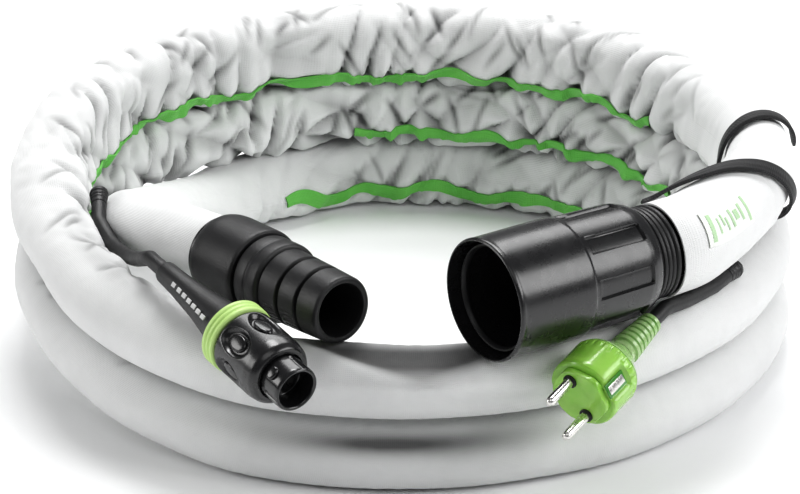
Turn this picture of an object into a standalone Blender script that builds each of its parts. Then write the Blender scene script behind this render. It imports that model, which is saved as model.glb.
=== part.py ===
"""Sleeved dust-extraction hose with an integrated power cable, lying in a coil of two and a half turns.

Frame: metres, +Z up, the floor at z = 0. The coil's axis is vertical, and the two cuffs lie on its
front, which faces -Y. The hose is followed from its extractor cuff to its tool cuff. Angles round
the hose's section start at the coil's inside and go up over the top.
"""

import math

import bmesh
import bpy
from mathutils import Matrix, Vector

# Coil
COIL_CENTRE = Vector((-0.0024, 0.0089, 0.0))
COIL_RADIUS_X = 0.1805
COIL_RADIUS_Y = 0.1745
LEVEL_PITCH = 0.0372
LEVEL_DROPS = ((150.0, 250.0), (510.0, 610.0))
COIL_START = 25.0
COIL_END = 815.0
COIL_STEP = 30.0

# Sections of the sleeve, the hose and the cable in it
SLEEVE_RADIUS = 0.0172
SLEEVE_END_RADIUS = 0.0232
SLEEVE_TOOL_RADIUS = 0.0169
SLEEVE_REACH = 0.0262
FABRIC = 0.0008
SEAM_COSINE = 0.56
BIG_ARC_POINTS = 9
SMALL_ARC_POINTS = 4
HOSE_RADIUS = 0.0150
HOSE_BORE = 0.0130
HOSE_SIDES = 8
CABLE_RADIUS = 0.0036
CABLE_OFFSET = 0.0195
CABLE_SIDES = 6
CABLE_REST_LOW = -18.0
CABLE_REST_HIGH = -45.0
CABLE_FADE = (0.300, 0.220)
PIPING_RADIUS = 0.0016
PIPING_SIDES = 6
PIPING_STRETCHES = (("upper", 35.0, 335.0), ("middle", 385.0, 465.0), ("lower", 575.0, 845.0))
GAP = 0.0004
COIL_SPACING = 0.048
END_SPACING = 0.024
SPAN_POINTS = 12

# Extractor cuff: the mouth's centre, and the direction from the mouth back to the hose
EXTRACTOR_MOUTH = Vector((0.0380, -0.1850, 0.1022))
EXTRACTOR_BACK = Vector((0.8120, 0.5810, -0.0120)).normalized()
EXTRACTOR_RADIUS = 0.0300
EXTRACTOR_BORE = 0.0262
EXTRACTOR_STEP = 0.0440
EXTRACTOR_SHOULDER = 0.0820
EXTRACTOR_REAR = 0.0890
EXTRACTOR_END = 0.1008
EXTRACTOR_STOP = 0.0702  # the step inside that the insert's flange meets
EXTRACTOR_SHOULDER_RADIUS = 0.0277
EXTRACTOR_REAR_RADIUS = 0.0236
EXTRACTOR_THROAT = 0.0192
REAR_COLLAR_RADIUS = 0.0230
REAR_COLLAR_GROOVE = 0.0218
SEAL_RADIUS = 0.0257
SEAL_START = 0.0060
INSERT_RADIUS = 0.0186
INSERT_FLANGE = 0.0240
INSERT_FRONT = 0.0666
INSERT_SOCKET = 0.0157
HOSE_START = 0.0780
SLEEVE_START = 0.1032
GRIP_RECESSES = 8
GRIP_FLOOR = 0.0270
GRIP_SIZE = (0.0060, 0.0085, 0.0310)
GRIP_PHASE = 11.0

# Tool cuff: the mouth's centre, and the direction from the mouth back to the hose
TOOL_MOUTH = Vector((-0.0281, -0.1705, 0.0902))
TOOL_BACK = Vector((-0.6300, 0.7750, -0.0420)).normalized()
TOOL_NOSE = 0.0425
TOOL_WAIST = 0.0600
TOOL_LENGTH = 0.0950
TOOL_RING_END = 0.0974
TOOL_NOSE_RADIUS = 0.0177
NOSE_GROOVE_FRONT = 0.0140
NOSE_GROOVE_REAR = 0.0270
KEEPER_RADIUS = 0.0180
TOOL_WAIST_RADIUS = 0.0200
TOOL_BELL_RADIUS = 0.0217
TOOL_BORE = 0.0128
TOOL_HOSE_START = 0.0672
TOOL_SLEEVE_START = 0.0986

# Hand-placed stretches of the hose's centreline, about the coil's centre
EXTRACTOR_STRETCH = (
    (0.1385, -0.1085, 0.0992),
    (0.1560, -0.0830, 0.1002),
    (0.1720, -0.0500, 0.1004),
    (0.1802, -0.0020, 0.0985),
)
TOOL_STRETCH = (
    (-0.0820, 0.1430, 0.0176),
    (-0.1080, 0.1080, 0.0214),
    (-0.1240, 0.0700, 0.0325),
    (-0.1350, 0.0330, 0.0460),
    (-0.1395, 0.0000, 0.0590),
    (-0.1340, -0.0290, 0.0700),
    (-0.1200, -0.0550, 0.0790),
)

# Free leads, about the coil's centre
LEAD_RADIUS = 0.0038
LEAD_SPACING = 0.015
LEAD_STRAIGHT = 0.012
GLAND_LENGTH = 0.0090
GLAND_RADIUS = 0.0047
TOOL_GLAND = Vector((-0.1525, -0.0190, 0.0840))
TOOL_LEAD_POINTS = (
    (-0.1513, -0.0425, 0.0770),
    (-0.1429, -0.0610, 0.0748),
    (-0.1320, -0.0860, 0.0790),
)
MAINS_GLAND = Vector((0.1626, -0.0910, 0.0755))
MAINS_LEAD_POINTS = (
    (0.1502, -0.1108, 0.0746),
    (0.1370, -0.1262, 0.0752),
)

# Power connector on the tool end: the ring's centre and the way the connector points
CONNECTOR_RING = Vector((-0.0772, -0.1830, 0.0828))
CONNECTOR_FORWARD = Vector((0.572, -0.804, -0.160)).normalized()
BOOT_LENGTH = 0.0640
RING_HALF = 0.0045
RING_RADIUS = 0.0176
COLLAR_RADIUS = 0.0167
COLLAR_END = 0.0375
SOCKET_END = 0.0505
SOCKET_RADIUS = 0.0114
SOCKET_WELL = 0.0092
SOCKET_FACE = 0.0390
COLLAR_DIMPLES = 6
CONTACTS = 3
CONTACT_CIRCLE = 0.0048
CONTACT_RADIUS = 0.0014

# Mains plug: the strain relief's end and the way the pins point
PLUG_END = Vector((0.1187, -0.1499, 0.0745))
PLUG_FORWARD = Vector((-0.555, -0.803, -0.216)).normalized()
RELIEF_LENGTH = 0.0290
RELIEF_RIBS = 3
PLUG_BODY_END = 0.0620
PLUG_RADIUS = 0.0178
PLUG_FACE = 0.0032
PIN_RADIUS = 0.0024
PIN_LENGTH = 0.0190
PIN_SPREAD = 0.0095
PIN_ROLL = math.radians(111.0)
CLIP_ROLL = math.radians(21.0)
CLIP_SIZE = (0.0044, 0.0010, 0.0150)

# Label and tie strap
LABEL_STATIONS = (0.024, 0.080)
LABEL_SIDES = (128.0, 164.0)
LABEL_THICKNESS = 0.0006
STRAP_RADIUS = 0.0024
STRAP_SPACING = 0.010
STRAP_STAND = 0.0042
STRAP_TURNS = (
    (0.034, 35.0),
    (0.062, 60.0),
    (0.088, 90.0),
    (0.104, 125.0),
    (0.116, 180.0),
    (0.128, 230.0),
    (0.138, 270.0),
    (0.147, 315.0),
    (0.155, 360.0),
    (0.162, 405.0),
    (0.168, 450.0),
    (0.174, 495.0),
    (0.182, 545.0),
)

SEGMENTS = 28
SMALL_SEGMENTS = 16

FINISHES = {
    "fabric": ((0.82, 0.82, 0.80), 0.85, 0.0),
    "hose": ((0.16, 0.16, 0.17), 0.55, 0.0),
    "green": ((0.10, 0.42, 0.09), 0.6, 0.0),
    "lime": ((0.52, 0.78, 0.22), 0.45, 0.0),
    "clear_green": ((0.25, 0.70, 0.08), 0.15, 0.0),
    "plastic": ((0.015, 0.015, 0.016), 0.38, 0.0),
    "rubber": ((0.022, 0.022, 0.024), 0.7, 0.0),
    "webbing": ((0.012, 0.012, 0.013), 0.8, 0.0),
    "steel": ((0.75, 0.75, 0.74), 0.25, 1.0),
    "label": ((0.86, 0.88, 0.82), 0.6, 0.0),
}


def smooth(value):
    value = min(max(value, 0.0), 1.0)
    return value * value * (3.0 - 2.0 * value)


def ramp(value, start, end):
    return smooth((value - start) / (end - start))


def material(name, finish):
    colour, roughness, metallic = FINISHES[finish]
    made = bpy.data.materials.new(name + "_" + finish)
    made.use_nodes = True
    shader = made.node_tree.nodes["Principled BSDF"]
    shader.inputs["Base Color"].default_value = (*colour, 1.0)
    shader.inputs["Roughness"].default_value = roughness
    shader.inputs["Metallic"].default_value = metallic
    return made


def add(name, data, finish, parent):
    obj = bpy.data.objects.new(name, data)
    bpy.context.scene.collection.objects.link(obj)
    obj.data.materials.append(material(name, finish))
    obj.parent = parent
    return obj


def empty(name, matrix, parent):
    made = bpy.data.objects.new(name, None)
    bpy.context.scene.collection.objects.link(made)
    made.parent = parent
    made.matrix_basis = matrix
    return made


def axis_frame(point, along):
    """A matrix whose origin is the point and whose +Z runs along the given direction."""
    side = Vector((0.0, 0.0, 1.0)).cross(along).normalized()
    up = along.cross(side)
    turn = Matrix((side, up, along)).transposed().to_4x4()
    return Matrix.Translation(point) @ turn


def finish_mesh(bm, name, angle=35.0):
    bmesh.ops.remove_doubles(bm, verts=bm.verts, dist=1e-6)
    bmesh.ops.recalc_face_normals(bm, faces=bm.faces)
    if bm.calc_volume(signed=True) < 0.0:
        bmesh.ops.reverse_faces(bm, faces=bm.faces)
    mesh = bpy.data.meshes.new(name)
    bm.to_mesh(mesh)
    bm.free()
    mesh.shade_smooth()
    mesh.set_sharp_from_angle(angle=math.radians(angle))
    return mesh


def turned(name, profile, finish, parent, segments=SEGMENTS):
    """A piece turned about its own +Z from (radius, height) points, a ring unless it meets the axis."""
    bm = bmesh.new()
    verts = [bm.verts.new((radius, 0.0, height)) for radius, height in profile]
    pairs = list(zip(verts, verts[1:]))
    if profile[0][0] > 0.0:
        pairs.append((verts[-1], verts[0]))
    edges = [bm.edges.new(pair) for pair in pairs]
    bmesh.ops.spin(
        bm,
        geom=verts + edges,
        cent=(0.0, 0.0, 0.0),
        axis=(0.0, 0.0, 1.0),
        angle=2.0 * math.pi,
        steps=segments,
        use_merge=True,
    )
    return add(name, finish_mesh(bm, name), finish, parent)


def around(count, radius, height=0.0, phase=0.0):
    """Matrices spread evenly about +Z, each with its own +X pointing outwards."""
    found = []
    for k in range(count):
        turn = Matrix.Rotation(phase + 2.0 * math.pi * k / count, 4, "Z")
        found.append(turn @ Matrix.Translation((radius, 0.0, height)))
    return found


def boxes(places, size):
    bm = bmesh.new()
    for place in places:
        bmesh.ops.create_cube(bm, size=1.0, matrix=place @ Matrix.Diagonal((*size, 1.0)))
    return finish_mesh(bm, "boxes")


def rods(places, radius, depth, sides=12):
    bm = bmesh.new()
    for place in places:
        bmesh.ops.create_cone(
            bm,
            cap_ends=True,
            segments=sides,
            radius1=radius,
            radius2=radius,
            depth=depth,
            matrix=place,
        )
    return finish_mesh(bm, "rods")


def cut(target, name, mesh):
    """Cuts the mesh, given in the target's own frame, out of the target."""
    cutter = bpy.data.objects.new(name, mesh)
    bpy.context.scene.collection.objects.link(cutter)
    cutter.parent = target.parent
    cutter.hide_render = True
    cutter.display_type = "WIRE"
    modifier = target.modifiers.new(name, "BOOLEAN")
    modifier.operation = "DIFFERENCE"
    modifier.solver = "EXACT"
    modifier.object = cutter


def spline_through(points):
    """Points along a smooth curve through the given ones."""
    padded = [points[0] * 2.0 - points[1], *points, points[-1] * 2.0 - points[-2]]
    found = []
    for i in range(1, len(padded) - 2):
        a, b, c, d = padded[i - 1 : i + 3]
        for k in range(SPAN_POINTS):
            t = k / SPAN_POINTS
            line = b * 2.0 + (c - a) * t
            square = (a * 2.0 - b * 5.0 + c * 4.0 - d) * (t * t)
            cube = (b * 3.0 - c * 3.0 + d - a) * (t * t * t)
            found.append((line + square + cube) * 0.5)
    found.append(padded[-2].copy())
    return found


def spaced(points, spacing):
    """The same curve with its points at equal distances of about the spacing."""
    lengths = [0.0]
    for a, b in zip(points, points[1:]):
        lengths.append(lengths[-1] + (b - a).length)
    count = max(2, round(lengths[-1] / spacing))
    found = []
    index = 0
    for k in range(count + 1):
        want = lengths[-1] * k / count
        while index < len(points) - 2 and lengths[index + 1] < want:
            index += 1
        part = (want - lengths[index]) / (lengths[index + 1] - lengths[index])
        found.append(points[index].lerp(points[index + 1], part))
    return found


def coil_point(degrees):
    """The coil's centreline, counter-clockwise from +X as seen from above, three levels down to one."""
    drops = sum(ramp(degrees, start, end) for start, end in LEVEL_DROPS)
    turn = math.radians(degrees)
    height = SLEEVE_RADIUS + LEVEL_PITCH * (2.0 - drops)
    return Vector((COIL_RADIUS_X * math.cos(turn), COIL_RADIUS_Y * math.sin(turn), height))


def hose_stations():
    """The hose's centreline as points, close together in its two end stretches."""
    count = round((COIL_END - COIL_START) / COIL_STEP)
    step = (COIL_END - COIL_START) / count
    turns = [coil_point(COIL_START + step * k) for k in range(count + 1)]
    start = [EXTRACTOR_MOUTH + EXTRACTOR_BACK * d for d in (SLEEVE_START, SLEEVE_START + 0.010)]
    start += [Vector(p) for p in EXTRACTOR_STRETCH]
    end = [Vector(p) for p in TOOL_STRETCH]
    end += [TOOL_MOUTH + TOOL_BACK * d for d in (TOOL_SLEEVE_START + 0.010, TOOL_SLEEVE_START)]
    curve = spline_through([*start, *turns, *end])
    first = len(start) * SPAN_POINTS
    last = (len(start) + len(turns) - 1) * SPAN_POINTS
    points = [EXTRACTOR_MOUTH + EXTRACTOR_BACK * HOSE_START]
    points += spaced(curve[: first + 1], END_SPACING)
    points += spaced(curve[first : last + 1], COIL_SPACING)[1:]
    points += spaced(curve[last:], END_SPACING)[1:]
    return [*points, TOOL_MOUTH + TOOL_BACK * TOOL_HOSE_START]


class Route:
    """Points along the hose, the distance of each from the first, and the section's directions there."""

    def __init__(self, points):
        self.points = points
        self.distance = [0.0]
        for a, b in zip(points, points[1:]):
            self.distance.append(self.distance[-1] + (b - a).length)
        self.length = self.distance[-1]

    def directions(self, index):
        """Towards the coil's inside, and upwards."""
        before = self.points[max(index - 1, 0)]
        after = self.points[min(index + 1, len(self.points) - 1)]
        along = (after - before).normalized()
        inward = Vector((0.0, 0.0, 1.0)).cross(along).normalized()
        return inward, along.cross(inward)

    def around(self, index, side, offset):
        """The point at an angle and a distance from the centreline."""
        inward, up = self.directions(index)
        return self.points[index] + (inward * math.cos(side) + up * math.sin(side)) * offset

    def beside(self, distance, side, lift):
        """The point at a distance along the route, a side and a lift off the sleeve's surface."""
        index = max(i for i, d in enumerate(self.distance[:-1]) if d <= distance)
        step = self.distance[index + 1] - self.distance[index]
        part = (distance - self.distance[index]) / step
        ends = []
        for i in (index, index + 1):
            ends.append(self.around(i, side, self.sleeve_surface(i, side) + lift))
        return ends[0].lerp(ends[1], part)

    def nearest(self, point):
        return min(range(len(self.points)), key=lambda i: (self.points[i] - point).length)

    def cable_side(self, index):
        """The angle round the hose at which the cable lies."""
        level = (self.points[index].z - SLEEVE_RADIUS) / (2.0 * LEVEL_PITCH)
        level = min(max(level, 0.0), 1.0)
        return math.radians(CABLE_REST_LOW + (CABLE_REST_HIGH - CABLE_REST_LOW) * level)

    def sleeve_radius(self, index):
        distance = self.distance[index]
        start = ramp(distance, 0.03, 0.17)
        end = ramp(distance, self.length - 0.20, self.length - 0.06)
        radius = SLEEVE_END_RADIUS + (SLEEVE_RADIUS - SLEEVE_END_RADIUS) * start
        return radius + (SLEEVE_TOOL_RADIUS - SLEEVE_RADIUS) * end

    def sleeve_reach(self, index):
        """How far the sleeve stands off the centreline round the cable."""
        distance = self.distance[index]
        radius = self.sleeve_radius(index)
        start = ramp(distance, 0.075, 0.120)
        fade_start, fade_end = CABLE_FADE
        end = 1.0 - ramp(distance, self.length - fade_start, self.length - fade_end)
        return radius + max(SLEEVE_REACH - radius, 0.0) * start * end

    def sleeve_surface(self, index, side):
        """The distance from the centreline to the sleeve's surface on a side."""
        off = math.remainder(side - self.cable_side(index), 2.0 * math.pi)
        past = max(math.acos(SEAM_COSINE) - abs(off), 0.0)
        return min(self.sleeve_radius(index) / math.cos(past), self.sleeve_reach(index))

    def sleeve_outline(self, index, thinner):
        """The sleeve's section: a wide arc round the hose and a narrow one round the cable."""
        radius = self.sleeve_radius(index) - thinner
        reach = self.sleeve_reach(index) - thinner
        side = self.cable_side(index)
        offset = (reach - radius) / (1.0 - SEAM_COSINE)
        small = radius - SEAM_COSINE * offset
        half = math.acos(SEAM_COSINE)
        found = []
        for k in range(BIG_ARC_POINTS):
            turn = side + half + (2.0 * math.pi - 2.0 * half) * k / (BIG_ARC_POINTS - 1)
            found.append((radius * math.cos(turn), radius * math.sin(turn)))
        for k in range(1, SMALL_ARC_POINTS):
            turn = side - half + 2.0 * half * k / SMALL_ARC_POINTS
            x = offset * math.cos(side) + small * math.cos(turn)
            y = offset * math.sin(side) + small * math.sin(turn)
            found.append((x, y))
        return found


def circle(radius, sides):
    turns = [2.0 * math.pi * k / sides for k in range(sides)]
    return [(radius * math.cos(t), radius * math.sin(t)) for t in turns]


def swept(name, route, stations, outer, inner, finish, parent):
    """A tube along the route with an outline at each station, hollow where it has an inner one too."""
    bm = bmesh.new()

    def ring(index, outline):
        inward, up = route.directions(index)
        centre = route.points[index]
        return [bm.verts.new(centre + inward * x + up * y) for x, y in outline]

    def skin(first, second):
        for k, corner in enumerate(first):
            after = (k + 1) % len(first)
            bm.faces.new((corner, first[after], second[after], second[k]))

    outside = [ring(i, outer(i)) for i in stations]
    for a, b in zip(outside, outside[1:]):
        skin(a, b)
    if inner is None:
        bm.faces.new(outside[0])
        bm.faces.new(outside[-1])
    else:
        inside = [ring(i, inner(i)) for i in stations]
        for a, b in zip(inside, inside[1:]):
            skin(a, b)
        skin(outside[0], inside[0])
        skin(outside[-1], inside[-1])
    return add(name, finish_mesh(bm, name, 60.0), finish, parent)


def cord(name, points, radius, finish, parent):
    """A plain round cord through the points."""
    curve = bpy.data.curves.new(name, "CURVE")
    curve.dimensions = "3D"
    curve.bevel_depth = radius
    curve.bevel_resolution = 2
    curve.use_fill_caps = True
    spline = curve.splines.new("POLY")
    spline.points.add(len(points) - 1)
    for target, point in zip(spline.points, points):
        target.co = (*point, 1.0)
    return add(name, curve, finish, parent)


def add_sleeve_and_hose(route, origin):
    swept(
        "hose_sleeve",
        route,
        range(1, len(route.points) - 1),
        lambda i: route.sleeve_outline(i, 0.0),
        lambda i: route.sleeve_outline(i, FABRIC),
        "fabric",
        origin,
    )
    swept(
        "suction_hose",
        route,
        range(len(route.points)),
        lambda i: circle(HOSE_RADIUS, HOSE_SIDES),
        lambda i: circle(HOSE_BORE, HOSE_SIDES),
        "hose",
        origin,
    )


def add_beside(name, route, stations, offset, radius, sides, finish, origin):
    """A solid round strand that follows the cable's side of the hose at an offset."""
    points = [route.around(i, route.cable_side(i), offset) for i in stations]
    strand = Route(points)
    outline = circle(radius, sides)
    swept(name, strand, range(len(points)), lambda i: outline, None, finish, origin)


def add_cable_and_piping(route, origin):
    inside = [i for i, d in enumerate(route.distance) if 0.125 <= d <= route.length - CABLE_FADE[0]]
    add_beside("power_cable", route, inside, CABLE_OFFSET, CABLE_RADIUS, CABLE_SIDES, "rubber", origin)
    seam = SLEEVE_REACH + PIPING_RADIUS + GAP
    for name, start, end in PIPING_STRETCHES:
        first = route.nearest(coil_point(start))
        stations = range(first, first + round(math.radians(end - start) * COIL_RADIUS_X / COIL_SPACING))
        add_beside(
            "seam_piping_" + name, route, stations, seam, PIPING_RADIUS, PIPING_SIDES, "green", origin
        )


def add_label(route, origin):
    """A thin patch that lies round part of the sleeve."""
    bm = bmesh.new()
    stations = [i for i, d in enumerate(route.distance) if LABEL_STATIONS[0] <= d <= LABEL_STATIONS[1]]
    start, end = (math.radians(side) for side in LABEL_SIDES)
    across = 5

    def rail(index, lift):
        radius = route.sleeve_radius(index) + lift
        sides = [start + (end - start) * k / (across - 1) for k in range(across)]
        return [bm.verts.new(route.around(index, side, radius)) for side in sides]

    loops = []
    for index in stations:
        loops.append(rail(index, GAP) + rail(index, GAP + LABEL_THICKNESS)[::-1])
    for first, second in zip(loops, loops[1:]):
        for k, corner in enumerate(first):
            after = (k + 1) % len(first)
            bm.faces.new((corner, first[after], second[after], second[k]))
    for loop in (loops[0], loops[-1]):
        for k in range(across - 1):
            bm.faces.new((loop[k], loop[k + 1], loop[-2 - k], loop[-1 - k]))
    add("sleeve_label", finish_mesh(bm, "sleeve_label"), "label", origin)


def add_strap(route, origin):
    """The tie strap, wound one and a half times round the hose behind the extractor cuff."""
    turns = [route.beside(d, math.radians(side), STRAP_STAND) for d, side in STRAP_TURNS]
    points = spaced(spline_through(turns), STRAP_SPACING)
    cord("tie_strap", points, STRAP_RADIUS, "webbing", origin)


def add_extractor_cuff(origin):
    frame = empty("extractor_axis", axis_frame(EXTRACTOR_MOUTH, -EXTRACTOR_BACK), origin)
    cuff = turned(
        "extractor_cuff",
        (
            (EXTRACTOR_RADIUS - 0.0014, 0.0),
            (EXTRACTOR_RADIUS, -0.0014),
            (EXTRACTOR_RADIUS - 0.0002, -EXTRACTOR_STEP),
            (EXTRACTOR_RADIUS - 0.0010, -EXTRACTOR_STEP - 0.0008),
            (EXTRACTOR_SHOULDER_RADIUS, -EXTRACTOR_SHOULDER),
            (EXTRACTOR_BORE, -EXTRACTOR_SHOULDER - 0.0046),
            (EXTRACTOR_REAR_RADIUS, -EXTRACTOR_REAR),
            (EXTRACTOR_THROAT, -EXTRACTOR_REAR),
            (EXTRACTOR_THROAT, -EXTRACTOR_STOP),
            (EXTRACTOR_BORE - 0.0004, -EXTRACTOR_STOP),
            (EXTRACTOR_BORE, 0.0),
        ),
        "plastic",
        frame,
        32,
    )
    height = -(EXTRACTOR_STEP + EXTRACTOR_SHOULDER + 0.004) / 2.0
    places = around(GRIP_RECESSES, GRIP_FLOOR + GRIP_SIZE[0] / 2.0, height, math.radians(GRIP_PHASE))
    cut(cuff, "grip_recess_cutter", boxes(places, GRIP_SIZE))
    turned(
        "extractor_collar",
        (
            (REAR_COLLAR_RADIUS - 0.0008, -EXTRACTOR_REAR - GAP),
            (REAR_COLLAR_RADIUS, -EXTRACTOR_REAR - 0.0012),
            (REAR_COLLAR_RADIUS, -EXTRACTOR_REAR - 0.0048),
            (REAR_COLLAR_GROOVE, -EXTRACTOR_REAR - 0.0054),
            (REAR_COLLAR_GROOVE, -EXTRACTOR_REAR - 0.0072),
            (REAR_COLLAR_RADIUS - 0.0002, -EXTRACTOR_REAR - 0.0078),
            (REAR_COLLAR_RADIUS - 0.0002, -EXTRACTOR_END),
            (EXTRACTOR_THROAT - 0.0001, -EXTRACTOR_END),
            (EXTRACTOR_THROAT - 0.0001, -EXTRACTOR_REAR - GAP),
        ),
        "rubber",
        frame,
    )
    turned(
        "extractor_insert",
        (
            (INSERT_FLANGE, -INSERT_FRONT),
            (INSERT_FLANGE, -EXTRACTOR_STOP + 0.0005),
            (INSERT_RADIUS, -EXTRACTOR_STOP + 0.0005),
            (INSERT_RADIUS, -EXTRACTOR_END),
            (INSERT_SOCKET, -EXTRACTOR_END),
            (INSERT_SOCKET, -HOSE_START + GAP),
            (HOSE_BORE, -HOSE_START + GAP),
            (HOSE_BORE + 0.0020, -INSERT_FRONT),
        ),
        "plastic",
        frame,
        24,
    )
    turned(
        "extractor_seal",
        (
            (SEAL_RADIUS, -SEAL_START),
            (SEAL_RADIUS, -SEAL_START - 0.0040),
            (SEAL_RADIUS - 0.0014, -SEAL_START - 0.0032),
            (SEAL_RADIUS - 0.0014, -SEAL_START - 0.0008),
        ),
        "rubber",
        frame,
        24,
    )


def add_tool_cuff(origin):
    frame = empty("tool_axis", axis_frame(TOOL_MOUTH, -TOOL_BACK), origin)
    turned(
        "tool_cuff_nose",
        (
            (TOOL_NOSE_RADIUS - 0.0016, 0.0),
            (TOOL_NOSE_RADIUS - 0.0007, -0.0012),
            (TOOL_NOSE_RADIUS - 0.0004, -NOSE_GROOVE_FRONT),
            (TOOL_NOSE_RADIUS - 0.0016, -NOSE_GROOVE_FRONT - 0.0006),
            (TOOL_NOSE_RADIUS - 0.0016, -NOSE_GROOVE_FRONT - 0.0026),
            (TOOL_NOSE_RADIUS - 0.0002, -NOSE_GROOVE_FRONT - 0.0032),
            (TOOL_NOSE_RADIUS, -NOSE_GROOVE_REAR),
            (TOOL_NOSE_RADIUS - 0.0014, -NOSE_GROOVE_REAR - 0.0006),
            (TOOL_NOSE_RADIUS - 0.0014, -NOSE_GROOVE_REAR - 0.0026),
            (TOOL_NOSE_RADIUS, -NOSE_GROOVE_REAR - 0.0032),
            (TOOL_NOSE_RADIUS, -TOOL_NOSE),
            (TOOL_BORE, -TOOL_NOSE),
            (TOOL_BORE + 0.0003, 0.0),
        ),
        "rubber",
        frame,
    )
    turned(
        "tool_cuff_waist",
        (
            (TOOL_WAIST_RADIUS - 0.0012, -TOOL_NOSE - GAP),
            (TOOL_WAIST_RADIUS, -TOOL_NOSE - 0.0016),
            (TOOL_WAIST_RADIUS, -TOOL_WAIST + 0.0014),
            (TOOL_WAIST_RADIUS - 0.0010, -TOOL_WAIST),
            (TOOL_BORE, -TOOL_WAIST),
            (TOOL_BORE, -TOOL_NOSE - GAP),
        ),
        "rubber",
        frame,
    )
    turned(
        "tool_cuff_bell",
        (
            (TOOL_BELL_RADIUS - 0.0010, -TOOL_WAIST - GAP),
            (TOOL_BELL_RADIUS, -TOOL_WAIST - 0.0018),
            (TOOL_BELL_RADIUS - 0.0003, -TOOL_LENGTH + 0.0100),
            (TOOL_BELL_RADIUS - 0.0014, -TOOL_LENGTH + 0.0030),
            (TOOL_BELL_RADIUS - 0.0036, -TOOL_LENGTH),
            (INSERT_RADIUS - 0.0001, -TOOL_LENGTH),
            (INSERT_RADIUS - 0.0001, -TOOL_WAIST - GAP),
        ),
        "rubber",
        frame,
    )
    turned(
        "tool_insert",
        (
            (INSERT_RADIUS - 0.0005, -TOOL_WAIST - 0.0010),
            (INSERT_RADIUS - 0.0005, -TOOL_LENGTH + GAP),
            (INSERT_SOCKET, -TOOL_LENGTH + GAP),
            (INSERT_SOCKET, -TOOL_HOSE_START + GAP),
            (TOOL_BORE, -TOOL_HOSE_START + GAP),
            (TOOL_BORE, -TOOL_WAIST - 0.0010),
        ),
        "plastic",
        frame,
        24,
    )
    turned(
        "tool_retaining_ring",
        (
            (KEEPER_RADIUS, -TOOL_LENGTH - GAP),
            (KEEPER_RADIUS, -TOOL_RING_END),
            (INSERT_SOCKET, -TOOL_RING_END),
            (INSERT_SOCKET, -TOOL_LENGTH - GAP),
        ),
        "plastic",
        frame,
        24,
    )


def add_gland(name, point, forward, origin):
    """A tapered rubber gland, its narrow end towards the lead."""
    frame = empty(name + "_axis", axis_frame(point, forward), origin)
    turned(
        name,
        (
            (0.0, 0.0),
            (GLAND_RADIUS - 0.0004, 0.0),
            (GLAND_RADIUS, 0.0010),
            (GLAND_RADIUS, 0.0040),
            (LEAD_RADIUS + 0.0003, GLAND_LENGTH),
            (0.0, GLAND_LENGTH),
        ),
        "rubber",
        frame,
        SMALL_SEGMENTS,
    )


def add_lead(name, gland, points, end, end_direction, origin):
    """The gland and the free lead from it, which reaches the end point in the given direction."""
    forward = (Vector(points[0]) - gland).normalized()
    add_gland(name + "_gland", gland, forward, origin)
    start = gland + forward * (GLAND_LENGTH + GAP)
    bend = [start + forward * LEAD_STRAIGHT, *(Vector(p) for p in points[1:])]
    bend.append(end - end_direction * LEAD_STRAIGHT)
    path = [start, *spaced(spline_through(bend), LEAD_SPACING), end]
    cord(name, path, LEAD_RADIUS, "rubber", origin)


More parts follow.
